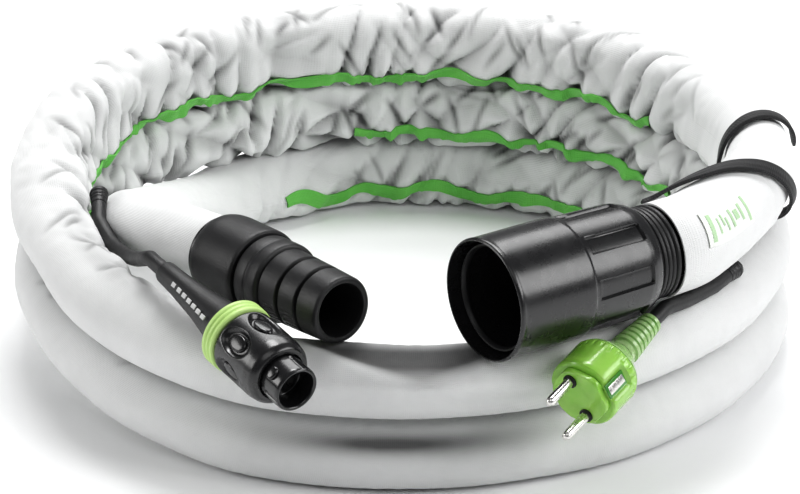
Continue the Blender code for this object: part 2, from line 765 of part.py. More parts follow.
def add_connector(origin):
    frame = empty("connector_axis", axis_frame(CONNECTOR_RING, CONNECTOR_FORWARD), origin)
    turned(
        "connector_boot",
        (
            (0.0, -BOOT_LENGTH),
            (0.0050, -BOOT_LENGTH),
            (0.0060, -BOOT_LENGTH + 0.0020),
            (0.0085, -0.0280),
            (0.0112, -0.0140),
            (0.0128, -RING_HALF - GAP),
            (0.0, -RING_HALF - GAP),
        ),
        "rubber",
        frame,
        20,
    )
    turned(
        "connector_ring",
        (
            (RING_RADIUS - 0.0012, -RING_HALF),
            (RING_RADIUS, -RING_HALF + 0.0010),
            (RING_RADIUS, -0.0006),
            (RING_RADIUS - 0.0010, 0.0),
            (RING_RADIUS, 0.0006),
            (RING_RADIUS, RING_HALF - 0.0010),
            (RING_RADIUS - 0.0012, RING_HALF),
            (SOCKET_RADIUS + GAP, RING_HALF),
            (SOCKET_RADIUS + GAP, -RING_HALF),
        ),
        "lime",
        frame,
    )
    collar = turned(
        "lock_collar",
        (
            (COLLAR_RADIUS - 0.0008, RING_HALF + GAP),
            (COLLAR_RADIUS, RING_HALF + 0.0020),
            (COLLAR_RADIUS, COLLAR_END - 0.0080),
            (COLLAR_RADIUS - 0.0012, COLLAR_END - 0.0020),
            (COLLAR_RADIUS - 0.0030, COLLAR_END),
            (SOCKET_RADIUS + GAP, COLLAR_END),
            (SOCKET_RADIUS + GAP, RING_HALF + GAP),
        ),
        "plastic",
        frame,
    )
    quarter = Matrix.Rotation(math.pi / 2.0, 4, "Y")
    oval = Matrix.Diagonal((1.7, 1.0, 1.0, 1.0))
    height = (RING_HALF + COLLAR_END) / 2.0
    outer = around(COLLAR_DIMPLES, COLLAR_RADIUS + 0.0020, height, math.radians(20.0))
    cut(collar, "dimple_cutter", rods([m @ quarter @ oval for m in outer], 0.0042, 0.0060))
    socket = turned(
        "connector_socket",
        (
            (0.0, -RING_HALF),
            (SOCKET_RADIUS, -RING_HALF),
            (SOCKET_RADIUS, SOCKET_END - 0.0006),
            (SOCKET_RADIUS - 0.0006, SOCKET_END),
            (SOCKET_WELL, SOCKET_END),
            (SOCKET_WELL, SOCKET_FACE),
            (0.0, SOCKET_FACE),
        ),
        "plastic",
        frame,
        24,
    )
    phase = math.radians(90.0)
    holes = around(CONTACTS, CONTACT_CIRCLE, SOCKET_FACE - 0.0020, phase)
    cut(socket, "contact_hole_cutter", rods(holes, CONTACT_RADIUS + 0.0008, 0.0160))
    for k, place in enumerate(around(CONTACTS, CONTACT_CIRCLE, SOCKET_FACE - 0.0042, phase)):
        contact = rods([place], CONTACT_RADIUS, 0.0080, 10)
        add("socket_contact_%d" % (k + 1), contact, "steel", frame)


def add_plug(origin):
    frame = empty("plug_axis", axis_frame(PLUG_END, PLUG_FORWARD), origin)
    relief = [(0.0, 0.0), (0.0050, 0.0)]
    for k in range(RELIEF_RIBS):
        start = 0.0015 + 0.0085 * k
        radius = 0.0056 + 0.0008 * k
        relief += [(radius, start), (radius, start + 0.0054), (radius - 0.0010, start + 0.0060)]
        relief.append((radius - 0.0010, start + 0.0079))
    relief += [(0.0078, RELIEF_LENGTH), (0.0, RELIEF_LENGTH)]
    turned("plug_strain_relief", relief, "clear_green", frame, SMALL_SEGMENTS)
    body = turned(
        "plug_body",
        (
            (0.0, RELIEF_LENGTH + GAP),
            (0.0084, RELIEF_LENGTH + GAP),
            (0.0110, RELIEF_LENGTH + 0.0040),
            (0.0162, RELIEF_LENGTH + 0.0110),
            (PLUG_RADIUS, RELIEF_LENGTH + 0.0140),
            (PLUG_RADIUS, PLUG_BODY_END),
            (0.0, PLUG_BODY_END),
        ),
        "clear_green",
        frame,
    )
    notch = (0.0040, 0.0070, 0.0180)
    sides = around(2, PLUG_RADIUS, PLUG_BODY_END - 0.0060, CLIP_ROLL)
    cut(body, "earth_notch_cutter", boxes(sides, notch))
    face_end = PLUG_BODY_END + GAP + PLUG_FACE
    turned(
        "plug_face",
        (
            (0.0, PLUG_BODY_END + GAP),
            (0.0150, PLUG_BODY_END + GAP),
            (0.0150, face_end - 0.0006),
            (0.0144, face_end),
            (0.0, face_end),
        ),
        "clear_green",
        frame,
    )
    for k, place in enumerate(around(2, PIN_SPREAD, 0.0, PIN_ROLL)):
        pin = empty("pin_axis_%d" % (k + 1), place, frame)
        turned(
            "plug_pin_%d" % (k + 1),
            (
                (0.0, face_end + GAP),
                (PIN_RADIUS, face_end + GAP),
                (PIN_RADIUS, face_end + PIN_LENGTH - 0.0014),
                (PIN_RADIUS - 0.0010, face_end + PIN_LENGTH),
                (0.0, face_end + PIN_LENGTH),
            ),
            "steel",
            pin,
            12,
        )
    for k, place in enumerate(around(2, PLUG_RADIUS - 0.0009, PLUG_BODY_END - 0.0072, CLIP_ROLL)):
        clip = boxes([place @ Matrix.Rotation(math.pi / 2.0, 4, "Z")], CLIP_SIZE)
        add("earth_clip_%d" % (k + 1), clip, "steel", frame)


def clear_scene():
    for obj in list(bpy.data.objects):
        bpy.data.objects.remove(obj)


def main():
    clear_scene()
    origin = empty("hose_origin", Matrix.Translation(COIL_CENTRE), None)
    route = Route(hose_stations())
    add_sleeve_and_hose(route, origin)
    add_cable_and_piping(route, origin)
    add_label(route, origin)
    add_strap(route, origin)
    add_extractor_cuff(origin)
    add_tool_cuff(origin)
    boot_end = CONNECTOR_RING - CONNECTOR_FORWARD * (BOOT_LENGTH + GAP)
    add_lead("tool_lead", TOOL_GLAND, TOOL_LEAD_POINTS, boot_end, CONNECTOR_FORWARD, origin)
    add_connector(origin)
    relief_end = PLUG_END - PLUG_FORWARD * GAP
    add_lead("mains_lead", MAINS_GLAND, MAINS_LEAD_POINTS, relief_end, PLUG_FORWARD, origin)
    add_plug(origin)


main()
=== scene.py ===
"""Looks for the coiled dust extraction hose: gathered sleeve, cuffs, leads, connector and plug.

Positions are metres in the row frame. Distances along the hose start at its extractor end.
Angles round a section start at the coil's inside and go up over the top.
"""

import copy
import math
import random
from math import radians

import bmesh
import bpy
import numpy as np
from mathutils import Matrix, Vector


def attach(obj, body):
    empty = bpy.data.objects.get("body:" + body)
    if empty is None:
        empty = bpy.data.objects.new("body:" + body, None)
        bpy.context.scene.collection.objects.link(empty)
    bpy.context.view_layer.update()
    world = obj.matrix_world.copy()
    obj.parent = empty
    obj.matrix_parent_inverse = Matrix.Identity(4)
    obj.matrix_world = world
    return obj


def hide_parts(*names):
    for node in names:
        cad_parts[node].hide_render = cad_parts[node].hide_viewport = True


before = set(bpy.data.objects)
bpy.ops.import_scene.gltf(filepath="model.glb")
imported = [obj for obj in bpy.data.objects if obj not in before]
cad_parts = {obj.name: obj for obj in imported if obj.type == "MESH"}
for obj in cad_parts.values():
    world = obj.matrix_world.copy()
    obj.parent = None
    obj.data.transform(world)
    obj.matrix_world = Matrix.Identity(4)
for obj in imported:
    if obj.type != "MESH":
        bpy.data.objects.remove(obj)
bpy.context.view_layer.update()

# The route, as the solids have it
COIL_CENTRE = Vector((-0.0024, 0.0089, 0.0))
COIL_RADIUS_X = 0.1805
COIL_RADIUS_Y = 0.1745
LEVEL_PITCH = 0.0372
LEVEL_DROPS = ((150.0, 250.0), (510.0, 610.0))
COIL_START, COIL_END, COIL_STEP = 25.0, 815.0, 30.0
SLEEVE_RADIUS = 0.0172
SLEEVE_END_RADIUS = 0.0232
SLEEVE_TOOL_RADIUS = 0.0169
SLEEVE_REACH = 0.0262
SEAM_ANGLE = math.acos(0.56)
EXTRACTOR_MOUTH = Vector((0.0380, -0.1850, 0.1022))
EXTRACTOR_BACK = Vector((0.8120, 0.5810, -0.0120)).normalized()
TOOL_MOUTH = Vector((-0.0281, -0.1705, 0.0902))
TOOL_BACK = Vector((-0.6300, 0.7750, -0.0420)).normalized()
HOSE_START, SLEEVE_START = 0.0780, 0.1032
TOOL_HOSE_START, TOOL_SLEEVE_START = 0.0672, 0.0986
EXTRACTOR_STRETCH = (
    (0.1385, -0.1085, 0.0992), (0.156, -0.083, 0.1002), (0.172, -0.05, 0.1004),
    (0.1802, -0.002, 0.0985),
)
TOOL_STRETCH = (
    (-0.082, 0.143, 0.0176), (-0.108, 0.108, 0.0214), (-0.124, 0.07, 0.0325),
    (-0.135, 0.033, 0.046), (-0.1395, 0.0, 0.059), (-0.134, -0.029, 0.07),
    (-0.12, -0.055, 0.079),
)
LEAD_RADIUS = 0.0038
LEAD_STRAIGHT = 0.012
GLAND_LENGTH = 0.0090
TOOL_GLAND = Vector((-0.1525, -0.0190, 0.0840))
TOOL_LEAD_POINTS = (
    (-0.1513, -0.0425, 0.077), (-0.1429, -0.061, 0.0748), (-0.132, -0.086, 0.079),
)
MAINS_GLAND = Vector((0.1626, -0.0910, 0.0755))
MAINS_LEAD_POINTS = ((0.1502, -0.1108, 0.0746), (0.1370, -0.1262, 0.0752))
CONNECTOR_RING = Vector((-0.0772, -0.1830, 0.0828))
CONNECTOR_FORWARD = Vector((0.572, -0.804, -0.160)).normalized()
BOOT_LENGTH = 0.0640
PLUG_END = Vector((0.1187, -0.1499, 0.0745))
PLUG_FORWARD = Vector((-0.555, -0.803, -0.216)).normalized()
STRAP_TURNS = (
    (0.034, 35.0), (0.062, 60.0), (0.088, 90.0), (0.104, 125.0), (0.116, 180.0), (0.128, 230.0),
    (0.138, 270.0), (0.147, 315.0), (0.155, 360.0), (0.162, 405.0), (0.168, 450.0), (0.174, 495.0),
    (0.182, 545.0),
)


# ---- camera and light


CAMERA_ELEVATION = radians(24.3)
CAMERA_DISTANCE = 2.17
CAMERA_LENS = 191.2
CAMERA_SHIFT = (-0.0025, -0.0094)
WARM, WHITE = (1.0, 0.995, 0.985), (1.0, 1.0, 1.0)
# Name, place, aim, size, watts and colour
LIGHTS = (
    ("key", (-1.45, -0.20, 0.58), (0.0, 0.0, 0.05), (0.8, 0.6), 7.0, WARM),
    ("side", (1.36, -0.44, 0.84), (0.0, 0.0, 0.06), (1.1, 0.8), 14.0, WHITE),
    ("back", (0.0, 1.20, 1.45), (0.0, 0.0, 0.0), (1.7, 0.8), 17.0, WHITE),
    ("top", (0.0, 0.50, 1.70), (0.0, 0.10, 0.0), (0.7, 0.5), 14.0, WHITE),
    ("front", (0.0, -1.30, 1.55), (0.0, 0.15, 0.06), (1.2, 0.8), 4.0, WHITE),
)
WORLD_COLOUR, WORLD_STRENGTH = (0.93, 0.94, 0.95, 1.0), 0.16


def look_at(obj, target):
    obj.rotation_euler = (Vector(target) - obj.location).to_track_quat("-Z", "Y").to_euler()


def add_camera():
    data = bpy.data.cameras.new("camera")
    camera = bpy.data.objects.new("camera", data)
    bpy.context.scene.collection.objects.link(camera)
    target = COIL_CENTRE + Vector((0.0, 0.0, 0.05))
    toward = Vector((0.0, -math.cos(CAMERA_ELEVATION), math.sin(CAMERA_ELEVATION)))
    camera.location = target + toward * CAMERA_DISTANCE
    look_at(camera, target)
    data.sensor_width = 36.0
    data.lens = CAMERA_LENS
    data.shift_x, data.shift_y = CAMERA_SHIFT
    bpy.context.scene.camera = camera


def add_area(name, location, target, size, power, colour):
    data = bpy.data.lights.new(name, "AREA")
    data.shape = "RECTANGLE"
    data.size, data.size_y = size
    data.energy = power
    data.color = colour
    light = bpy.data.objects.new(name, data)
    bpy.context.scene.collection.objects.link(light)
    light.location = location
    look_at(light, target)


def add_lights():
    for light in LIGHTS:
        add_area(*light)
    world = bpy.data.worlds.new("studio")
    world.use_nodes = True
    background = world.node_tree.nodes["Background"]
    background.inputs["Color"].default_value = WORLD_COLOUR
    background.inputs["Strength"].default_value = WORLD_STRENGTH
    bpy.context.scene.world = world
    bpy.context.scene.view_settings.view_transform = "Standard"
    bpy.context.scene.view_settings.look = "Medium High Contrast"


# ---- materials


class Nodes:
    """A material's node tree, with short calls to add and join nodes."""

    def __init__(self, name):
        self.material = bpy.data.materials.new(name)
        self.material.use_nodes = True
        self.tree = self.material.node_tree
        self.shader = self.tree.nodes["Principled BSDF"]

    def add(self, kind, **values):
        node = self.tree.nodes.new(kind)
        for key, value in values.items():
            if hasattr(node, key):
                setattr(node, key, value)
            else:
                node.inputs[key.replace("_", " ")].default_value = value
        return node

    def join(self, output, target):
        self.tree.links.new(output, target)

    def place(self, uv=False):
        """Object coordinates in metres, or the surface's own along and across it."""
        if uv:
            return self.add("ShaderNodeUVMap").outputs["UV"]
        return self.add("ShaderNodeTexCoord").outputs["Object"]

    def noise(self, place, scale, detail=4.0, roughness=0.55):
        node = self.add("ShaderNodeTexNoise", Scale=scale, Detail=detail, Roughness=roughness)
        self.join(place, node.inputs["Vector"])
        return node.outputs["Fac"]

    def wave(self, place, scale, direction, distortion=0.0):
        node = self.add("ShaderNodeTexWave", Scale=scale, Distortion=distortion, bands_direction=direction)
        self.join(place, node.inputs["Vector"])
        return node.outputs["Fac"]

    def spread(self, value, low, high):
        """A noise value carried to low..high."""
        node = self.add("ShaderNodeMapRange", From_Min=0.25, From_Max=0.75, To_Min=low, To_Max=high)
        self.join(value, node.inputs["Value"])
        return node.outputs["Result"]

    def gloss(self, place, scale, low, high):
        """Roughness in patches, from low to high."""
        self.join(self.spread(self.noise(place, scale), low, high), self.shader.inputs["Roughness"])

    def math(self, operation, a, b):
        node = self.add("ShaderNodeMath", operation=operation)
        for value, socket in zip((a, b), node.inputs):
            if isinstance(value, (int, float)):
                socket.default_value = value
            else:
                self.join(value, socket)
        return node.outputs["Value"]

    def colours(self, value, low, high):
        node = self.add("ShaderNodeMix", data_type="RGBA", A=(*low, 1.0), B=(*high, 1.0))
        self.join(value, node.inputs["Factor"])
        self.join(node.outputs["Result"], self.shader.inputs["Base Color"])

    def darken(self, attribute, amount):
        """The base colour, darker where the mesh's attribute nears 1."""
        source = self.add("ShaderNodeAttribute", attribute_name=attribute).outputs["Fac"]
        shade = self.math("SUBTRACT", 1.0, self.math("MULTIPLY", source, amount))
        node = self.add("ShaderNodeMix", data_type="RGBA", blend_type="MULTIPLY", Factor=1.0)
        socket = self.shader.inputs["Base Color"]
        self.join(socket.links[0].from_socket, node.inputs["A"])
        self.join(shade, node.inputs["B"])
        self.join(node.outputs["Result"], socket)

    def bump(self, height, distance, strength=1.0, under=None):
        node = self.add("ShaderNodeBump", Strength=strength, Distance=distance)
        self.join(height, node.inputs["Height"])
        if under is not None:
            self.join(under, node.inputs["Normal"])
        self.join(node.outputs["Normal"], self.shader.inputs["Normal"])
        return node.outputs["Normal"]

    def set(self, **values):
        for key, value in values.items():
            self.shader.inputs[key.replace("_", " ")].default_value = value


# A thread count over this is the wave texture's scale
THREADS_PER_SCALE = 4.3


def weave(name, low, high, threads, depth, roughness=0.82, sheen=0.25, painted_shade=0.0):
    """Plain woven cloth, with about so many threads to a metre, and with shade painted into its colour in
    the creases, as strong as the last argument.
    """
    made = Nodes(name)
    place = made.place(uv=True)
    warp = made.wave(place, threads / THREADS_PER_SCALE, "X", 0.4)
    weft = made.wave(place, threads / THREADS_PER_SCALE, "Y", 0.4)
    cross = made.math("MULTIPLY", warp, weft)
    cloud = made.noise(place, 60.0)
    made.colours(cloud, low, high)
    # Painted shade: the base colour is darkened where the mesh's crease attribute is high.
    if painted_shade:
        made.darken("crease", painted_shade)
    made.gloss(place, 240.0, roughness - 0.06, roughness + 0.08)
    coarse = made.bump(cloud, 0.0008, 0.5)
    made.bump(cross, depth, 0.6, coarse)
    made.set(Sheen_Weight=sheen, Sheen_Roughness=0.5, Specular_IOR_Level=0.3)
    return made.material


def solid(name, low, high, cloud, patches, roughness, grain, depth, strength, **settings):
    """A hard surface: clouds of colour, gloss in patches and a fine grain, each a noise's settings."""
    made = Nodes(name)
    place = made.place()
    made.colours(made.noise(place, *cloud), low, high)
    made.gloss(place, patches, *roughness)
    made.bump(made.noise(place, *grain), depth, strength)
    made.set(**settings)
    return made.material


def moulded(name, low, high, roughness, grain=900.0, depth=0.00012, coat=0.0):
    """Moulded plastic or rubber."""
    gloss = (roughness - 0.05, roughness + 0.07)
    settings = {"Coat_Weight": coat, "Coat_Roughness": 0.2, "Specular_IOR_Level": 0.5}
    return solid(name, low, high, (38.0, 5.0), 120.0, gloss, (grain, 3.0, 0.6), depth, 0.7, **settings)


def clear(name, low, high, transmission, roughness=0.16):
    """Translucent coloured plastic."""
    gloss = (roughness - 0.04, roughness + 0.08)
    settings = {"IOR": 1.45, "Coat_Weight": 0.4, "Coat_Roughness": 0.12}
    settings["Transmission_Weight"] = transmission
    return solid(name, low, high, (90.0, 3.0), 300.0, gloss, (500.0, 2.0), 0.00015, 0.4, **settings)


def metal(name, tint, roughness):
    dull = tuple(c * 0.88 for c in tint)
    gloss = (roughness - 0.08, roughness + 0.12)
    return solid(name, dull, tint, (220.0,), 900.0, gloss, (700.0,), 0.00001, 0.3, Metallic=1.0)


BLACK, SOFT_BLACK = (0.008, 0.008, 0.009), (0.010, 0.010, 0.011)
LOOKS = {
    # The sleeve cloth has shade painted into its colour from the mesh's crease attribute.
    "fabric": weave("sleeve_cloth", (0.70, 0.705, 0.705), (0.78, 0.785, 0.785), 1500.0, 0.00022, painted_shade=0.85),
    "green": weave("green_tape", (0.08, 0.40, 0.05), (0.20, 0.58, 0.12), 1300.0, 0.0003, 0.55, 0.15),
    "webbing": weave("black_webbing", SOFT_BLACK, (0.022, 0.022, 0.023), 900.0, 0.0004, 0.62, 0.1),
    "label": weave("label_cloth", (0.80, 0.83, 0.78), (0.87, 0.89, 0.85), 1600.0, 0.0002, 0.7, 0.1),
    "label_print": weave("label_print", (0.42, 0.62, 0.38), (0.52, 0.70, 0.46), 1600.0, 0.0002, 0.65, 0.1),
    "plastic": moulded("cuff_plastic", BLACK, (0.014, 0.014, 0.015), 0.27, 700.0, 0.00005, 0.35),
    "gloss": moulded("gloss_plastic", BLACK, (0.016, 0.016, 0.017), 0.20, 400.0, 0.00005, 0.3),
    "rubber": moulded("matte_rubber", BLACK, (0.018, 0.018, 0.019), 0.42, 1400.0, 0.0002),
    "cable": moulded("cable_rubber", SOFT_BLACK, (0.020, 0.020, 0.021), 0.45, 1100.0, 0.0002),
    "dark": moulded("dark_inside", (0.004, 0.004, 0.004), (0.009, 0.009, 0.009), 0.6, 500.0, 0.0003),
    "lime": moulded("lime_ring", (0.46, 0.68, 0.20), (0.56, 0.78, 0.30), 0.40, 600.0, 0.0001),
    "marks": moulded("pale_marks", (0.55, 0.55, 0.55), (0.68, 0.68, 0.68), 0.5, 600.0, 0.0001),
    "clear_green": clear("clear_green", (0.32, 0.76, 0.07), (0.60, 0.92, 0.24), 0.42),
    "pale_green": clear("pale_clear_green", (0.52, 0.88, 0.30), (0.74, 0.96, 0.52), 0.50, 0.2),
    "deep_green": clear("deep_clear_green", (0.05, 0.26, 0.03), (0.10, 0.38, 0.06), 0.3),
    "steel": metal("nickel", (0.78, 0.77, 0.74), 0.24),
}


# ---- the hose's route


def smooth(value):
    value = min(max(value, 0.0), 1.0)
    return value * value * (3.0 - 2.0 * value)


def ramp(value, start, end):
    return smooth((value - start) / (end - start))


def ramps(values, start, end):
    part = np.clip((values - start) / (end - start), 0.0, 1.0)
    return part * part * (3.0 - 2.0 * part)


def spline_through(points, span=24):
    padded = [points[0] * 2.0 - points[1], *points, points[-1] * 2.0 - points[-2]]
    found = []
    for i in range(1, len(padded) - 2):
        a, b, c, d = padded[i - 1 : i + 3]
        for k in range(span):
            t = k / span
            line = b * 2.0 + (c - a) * t
            square = (a * 2.0 - b * 5.0 + c * 4.0 - d) * (t * t)
            cube = (b * 3.0 - c * 3.0 + d - a) * (t * t * t)
            found.append((line + square + cube) * 0.5)
    found.append(padded[-2].copy())
    return found


def spaced(points, spacing):
    """The same curve as an array of points at equal distances of about the spacing."""
    points = np.array([tuple(p) for p in points])
    lengths = np.concatenate([[0.0], np.cumsum(np.linalg.norm(np.diff(points, axis=0), axis=1))])
    count = max(2, round(lengths[-1] / spacing))
    want = np.linspace(0.0, lengths[-1], count + 1)
    return np.stack([np.interp(want, lengths, points[:, k]) for k in range(3)], axis=1)


def coil_point(degrees):
    drops = sum(ramp(degrees, start, end) for start, end in LEVEL_DROPS)
    turn = radians(degrees)
    height = SLEEVE_RADIUS + LEVEL_PITCH * (2.0 - drops)
    return Vector((COIL_RADIUS_X * math.cos(turn), COIL_RADIUS_Y * math.sin(turn), height))


def hose_curve():
    """The sleeve's centreline in the row frame."""
    count = round((COIL_END - COIL_START) / COIL_STEP)
    step = (COIL_END - COIL_START) / count
    points = [EXTRACTOR_MOUTH + EXTRACTOR_BACK * d for d in (SLEEVE_START, SLEEVE_START + 0.010)]
    points += [Vector(p) for p in EXTRACTOR_STRETCH]
    points += [coil_point(COIL_START + step * k) for k in range(count + 1)]
    points += [Vector(p) for p in TOOL_STRETCH]
    points += [TOOL_MOUTH + TOOL_BACK * d for d in (TOOL_SLEEVE_START + 0.010, TOOL_SLEEVE_START)]
    return [p + COIL_CENTRE for p in spline_through(points)]


class Route:
    """Close points along a curve, with the section's directions at each."""

    def __init__(self, points, first=0.0):
        self.points = points
        steps = np.linalg.norm(np.diff(points, axis=0), axis=1)
        self.distance = first + np.concatenate([[0.0], np.cumsum(steps)])
        along = np.gradient(points, axis=0)
        self.along = along / np.linalg.norm(along, axis=1)[:, None]
        inward = np.cross((0.0, 0.0, 1.0), self.along)
        self.inward = inward / np.linalg.norm(inward, axis=1)[:, None]
        self.up = np.cross(self.along, self.inward)
        angles = np.arctan2(points[:, 1] - COIL_CENTRE.y, points[:, 0] - COIL_CENTRE.x)
        self.turn = np.degrees(np.unwrap(angles))

    @property
    def length(self):
        return self.distance[-1]

    def around(self, side, radius):
        """Points round the line, for grids of angles and of distances from it."""
        across = self.inward[:, None, :] * np.cos(side)[:, :, None]
        out = across + self.up[:, None, :] * np.sin(side)[:, :, None]
        return self.points[:, None, :] + out * radius[:, :, None]

    def part(self, stations):
        """The same line at some of its points."""
        made = copy.copy(self)
        for key in ("points", "distance", "along", "inward", "up", "turn"):
            setattr(made, key, getattr(self, key)[stations])
        return made

    def between(self, distances):
        """The same line at any distances along it."""
        made = copy.copy(self)
        for key in ("points", "along", "inward", "up"):
            values = getattr(self, key)
            columns = [np.interp(distances, self.distance, values[:, k]) for k in range(3)]
            setattr(made, key, np.stack(columns, axis=1))
        made.distance = distances
        made.turn = np.interp(distances, self.distance, self.turn)
        return made


class Ripples:
    """Smooth random waves over the sleeve, even round it and seeded."""

    def __init__(self, seed, wavelength, turns, count=9):
        maker = random.Random(seed)
        self.terms = []
        for _ in range(count):
            rate = 2.0 * math.pi / (wavelength * maker.uniform(0.7, 1.6))
            self.terms.append((rate, maker.randint(-turns, turns), maker.uniform(0.0, 2.0 * math.pi)))

    def __call__(self, along, side):
        total = 0.0
        for rate, turns, phase in self.terms:
            total = total + np.sin(rate * along + turns * side + phase)
        return total / math.sqrt(len(self.terms))


SPACING = Ripples(3, 0.110, 0)
FAN = Ripples(11, 0.260, 0, 5)
DEPTH = Ripples(7, 0.060, 1)
PATCHES = Ripples(13, 0.070, 2)
SWELL = Ripples(5, 0.080, 2)
CRUMPLE = Ripples(19, 0.015, 3, 14)
FINE = Ripples(23, 0.009, 5, 14)

# The sleeve's folds: spacing of pleats, of crossing diamonds and of small gathers, then how deep things are
PLEAT, DIAMOND, GATHER = 0.0225, 0.031, 0.0105
PLEAT_WANDER = 0.0075
FRONT_TAUTNESS = 0.93
SLEEVE_THICKNESS = 0.0009
INNER_PUFF, CROWN_PUFF, PUFF_LIMIT = 0.0040, 0.0034, 0.0258
HOLLOW_DEPTH, SAG_DEPTH, HOLLOW_EDGE_HEIGHT = 0.0046, 0.0036, 0.0020
HOLLOW_EDGES = (((243.0, 60.0), (272.0, 178.0)), ((300.0, 62.0), (276.0, 172.0)))
SLASH_START, SLASH_END, SLASH_SPACING = 0.24, 0.36, 0.0085
SLASH_WIDTH, SLASH_DEPTH = 0.0017, 0.0015
# The crease depth at which the painted shade in the sleeve's colour is darkest
DARKEST_DEPTH = 0.0078
WIDE, WIDEST = 0.0260, 0.0276
TAPE_SWAY = Ripples(31, 0.060, 0)


def billow(phase, lean=0.0, sharpness=0.9):
    """0 in the creases, at whole numbers of the phase, and 1 on the crowns between them."""
    leaning = phase + lean * np.sin(2.0 * math.pi * phase) / (2.0 * math.pi)
    return np.abs(np.sin(math.pi * leaning)) ** sharpness


def cable_side(heights):
    level = np.clip((heights - SLEEVE_RADIUS) / (2.0 * LEVEL_PITCH), 0.0, 1.0)
    return np.radians(-18.0 - 27.0 * level)


def hull_radius(route, side):
    """The distance to the smooth outline round the hose and the cable in the sleeve."""
    along = route.distance[:, None]
    start = ramps(along, 0.03, 0.17)
    end = ramps(along, HOSE_LENGTH - 0.20, HOSE_LENGTH - 0.06)
    radius = SLEEVE_END_RADIUS + (SLEEVE_RADIUS - SLEEVE_END_RADIUS) * start
    radius = radius + (SLEEVE_TOOL_RADIUS - SLEEVE_RADIUS) * end
    shown = ramps(along, 0.075, 0.120) * (1.0 - ramps(along, HOSE_LENGTH - 0.300, HOSE_LENGTH - 0.220))
    reach = radius + np.maximum(SLEEVE_REACH - radius, 0.0) * shown
    off = side - cable_side(route.points[:, 2])[:, None]
    off = np.abs((off + math.pi) % (2.0 * math.pi) - math.pi)
    centre = (reach - radius) / (1.0 - math.cos(SEAM_ANGLE))
    small = radius - math.cos(SEAM_ANGLE) * centre
    touch = np.arctan2(small * math.sin(SEAM_ANGLE), centre + small * math.cos(SEAM_ANGLE))
    flank = radius / np.cos(np.clip(SEAM_ANGLE - off, 0.0, 1.4))
    inside = np.maximum(small**2 - (centre * np.sin(off)) ** 2, 0.0)
    tip = centre * np.cos(off) + np.sqrt(inside)
    return np.where(off > SEAM_ANGLE, radius, np.where(off > touch, flank, tip))


def near(value, centre, width):
    return np.exp(-(((value - centre) / width) ** 2))


def slashes(along, side):
    """How near each place is to a short sharp crease across the folds, 0 to 1. Most lean back going up."""
    maker = random.Random(41)
    deepest = np.zeros(np.broadcast(along, side).shape)
    for place in np.arange(SLASH_START, HOSE_LENGTH - SLASH_END, SLASH_SPACING):
        middle = place + maker.uniform(-0.007, 0.007)
        centre = maker.choice((-0.1, 0.35, 0.9, 1.5)) + maker.uniform(-0.25, 0.25)
        half = maker.uniform(0.007, 0.016)
        lean = maker.choice((0.45, 0.75, 1.0, -0.6)) + maker.uniform(-0.15, 0.15)
        rows = np.nonzero(np.abs(along[:, 0] - middle) < 2.0 * half)[0]
        if not len(rows):
            continue
        off = along[rows] - middle
        rise = (side if side.shape[0] == 1 else side[rows]) * SLEEVE_RADIUS - centre * SLEEVE_RADIUS
        across = off * math.cos(lean) + rise * math.sin(lean)
        part = np.abs(rise * math.cos(lean) - off * math.sin(lean)) / half
        shape = near(across, 0.0, SLASH_WIDTH) * np.clip(1.0 - part * part, 0.0, 1.0)
        deepest[rows] = np.maximum(deepest[rows], shape)
    return deepest


def line_ridge(turn, side, start, end, width):
    """A soft ridge of height 1 between two (turn, side) points, in degrees, fading at its ends."""
    dx, dy = end[0] - start[0], end[1] - start[1]
    part = ((turn - start[0]) * dx + (side - start[1]) * dy) / (dx * dx + dy * dy)
    away = (side - start[1]) - part * dy
    fade = ramps(part, -0.1, 0.15) * (1.0 - ramps(part, 0.85, 1.1))
    return near(away, 0.0, width) * fade


def gathering(route, side):
    """How slack the sleeve is, and how far the inside and the top of it are drawn into folds, 0 to 1."""
    turn = route.turn[:, None]
    place = (turn + 360.0) % 360.0
    gathered = ramps(turn, 5.0, 40.0) * (1.0 - ramps(turn, 800.0, 880.0))
    front = ramps(place, 205.0, 240.0) * (1.0 - ramps(place, 318.0, 352.0))
    level = levels(route)
    inner = ramps(np.cos(side + 0.05) + 0.0 * turn, -0.30, 0.55)
    crown = ramps(np.sin(side) + 0.0 * turn, 0.0, 0.8) * ramps(level, 0.55, 0.95)
    return gathered * (1.0 - FRONT_TAUTNESS * front), inner, crown


def levels(route):
    """The height of each point's turn in the coil, 0 on the floor to 1 on top."""
    return np.clip((route.points[:, 2:] - SLEEVE_RADIUS) / (2.0 * LEVEL_PITCH), 0.0, 1.0)


def folds(along, side, level, crown):
    """0 in the creases of the gathered cloth to 1 between them: pleats, crossed in patches by diamonds."""
    evened = along + PLEAT_WANDER * SPACING(along, 0.0)
    fan = 0.45 + 0.60 * FAN(along, 0.0)
    pleats = billow(evened / PLEAT + fan * (side + 0.3), 0.55)
    zig = billow(evened / DIAMOND + 0.85 * side + 0.3 * fan, 0.4)
    zag = billow(evened / DIAMOND - 0.85 * side + 0.45, -0.4)
    diamonds = np.minimum(zig, zag) ** 0.8
    small = billow(evened / GATHER + fan * side, 0.3)
    share = ramps(PATCHES(along, side), -0.9, 0.5)
    share = np.clip(share * (0.50 + 0.6 * near(level, 0.5, 0.28)), 0.0, 1.0)
    form = pleats * (1.0 - share) + diamonds * share
    form = form * (0.86 + 0.14 * small)
    return form + 0.42 * (1.0 - form) * crown


def front_hollow(turn, degrees):
    """The long hollow in front, under the two cuffs, between two slanting edges."""
    left = 243.0 + 29.0 * (degrees - 60.0) / 118.0
    right = 300.0 - 24.0 * (degrees - 60.0) / 110.0
    return ramps(turn - left, 1.0, 8.0) * ramps(right - turn, 1.0, 8.0) * near(degrees, 112.0, 40.0)


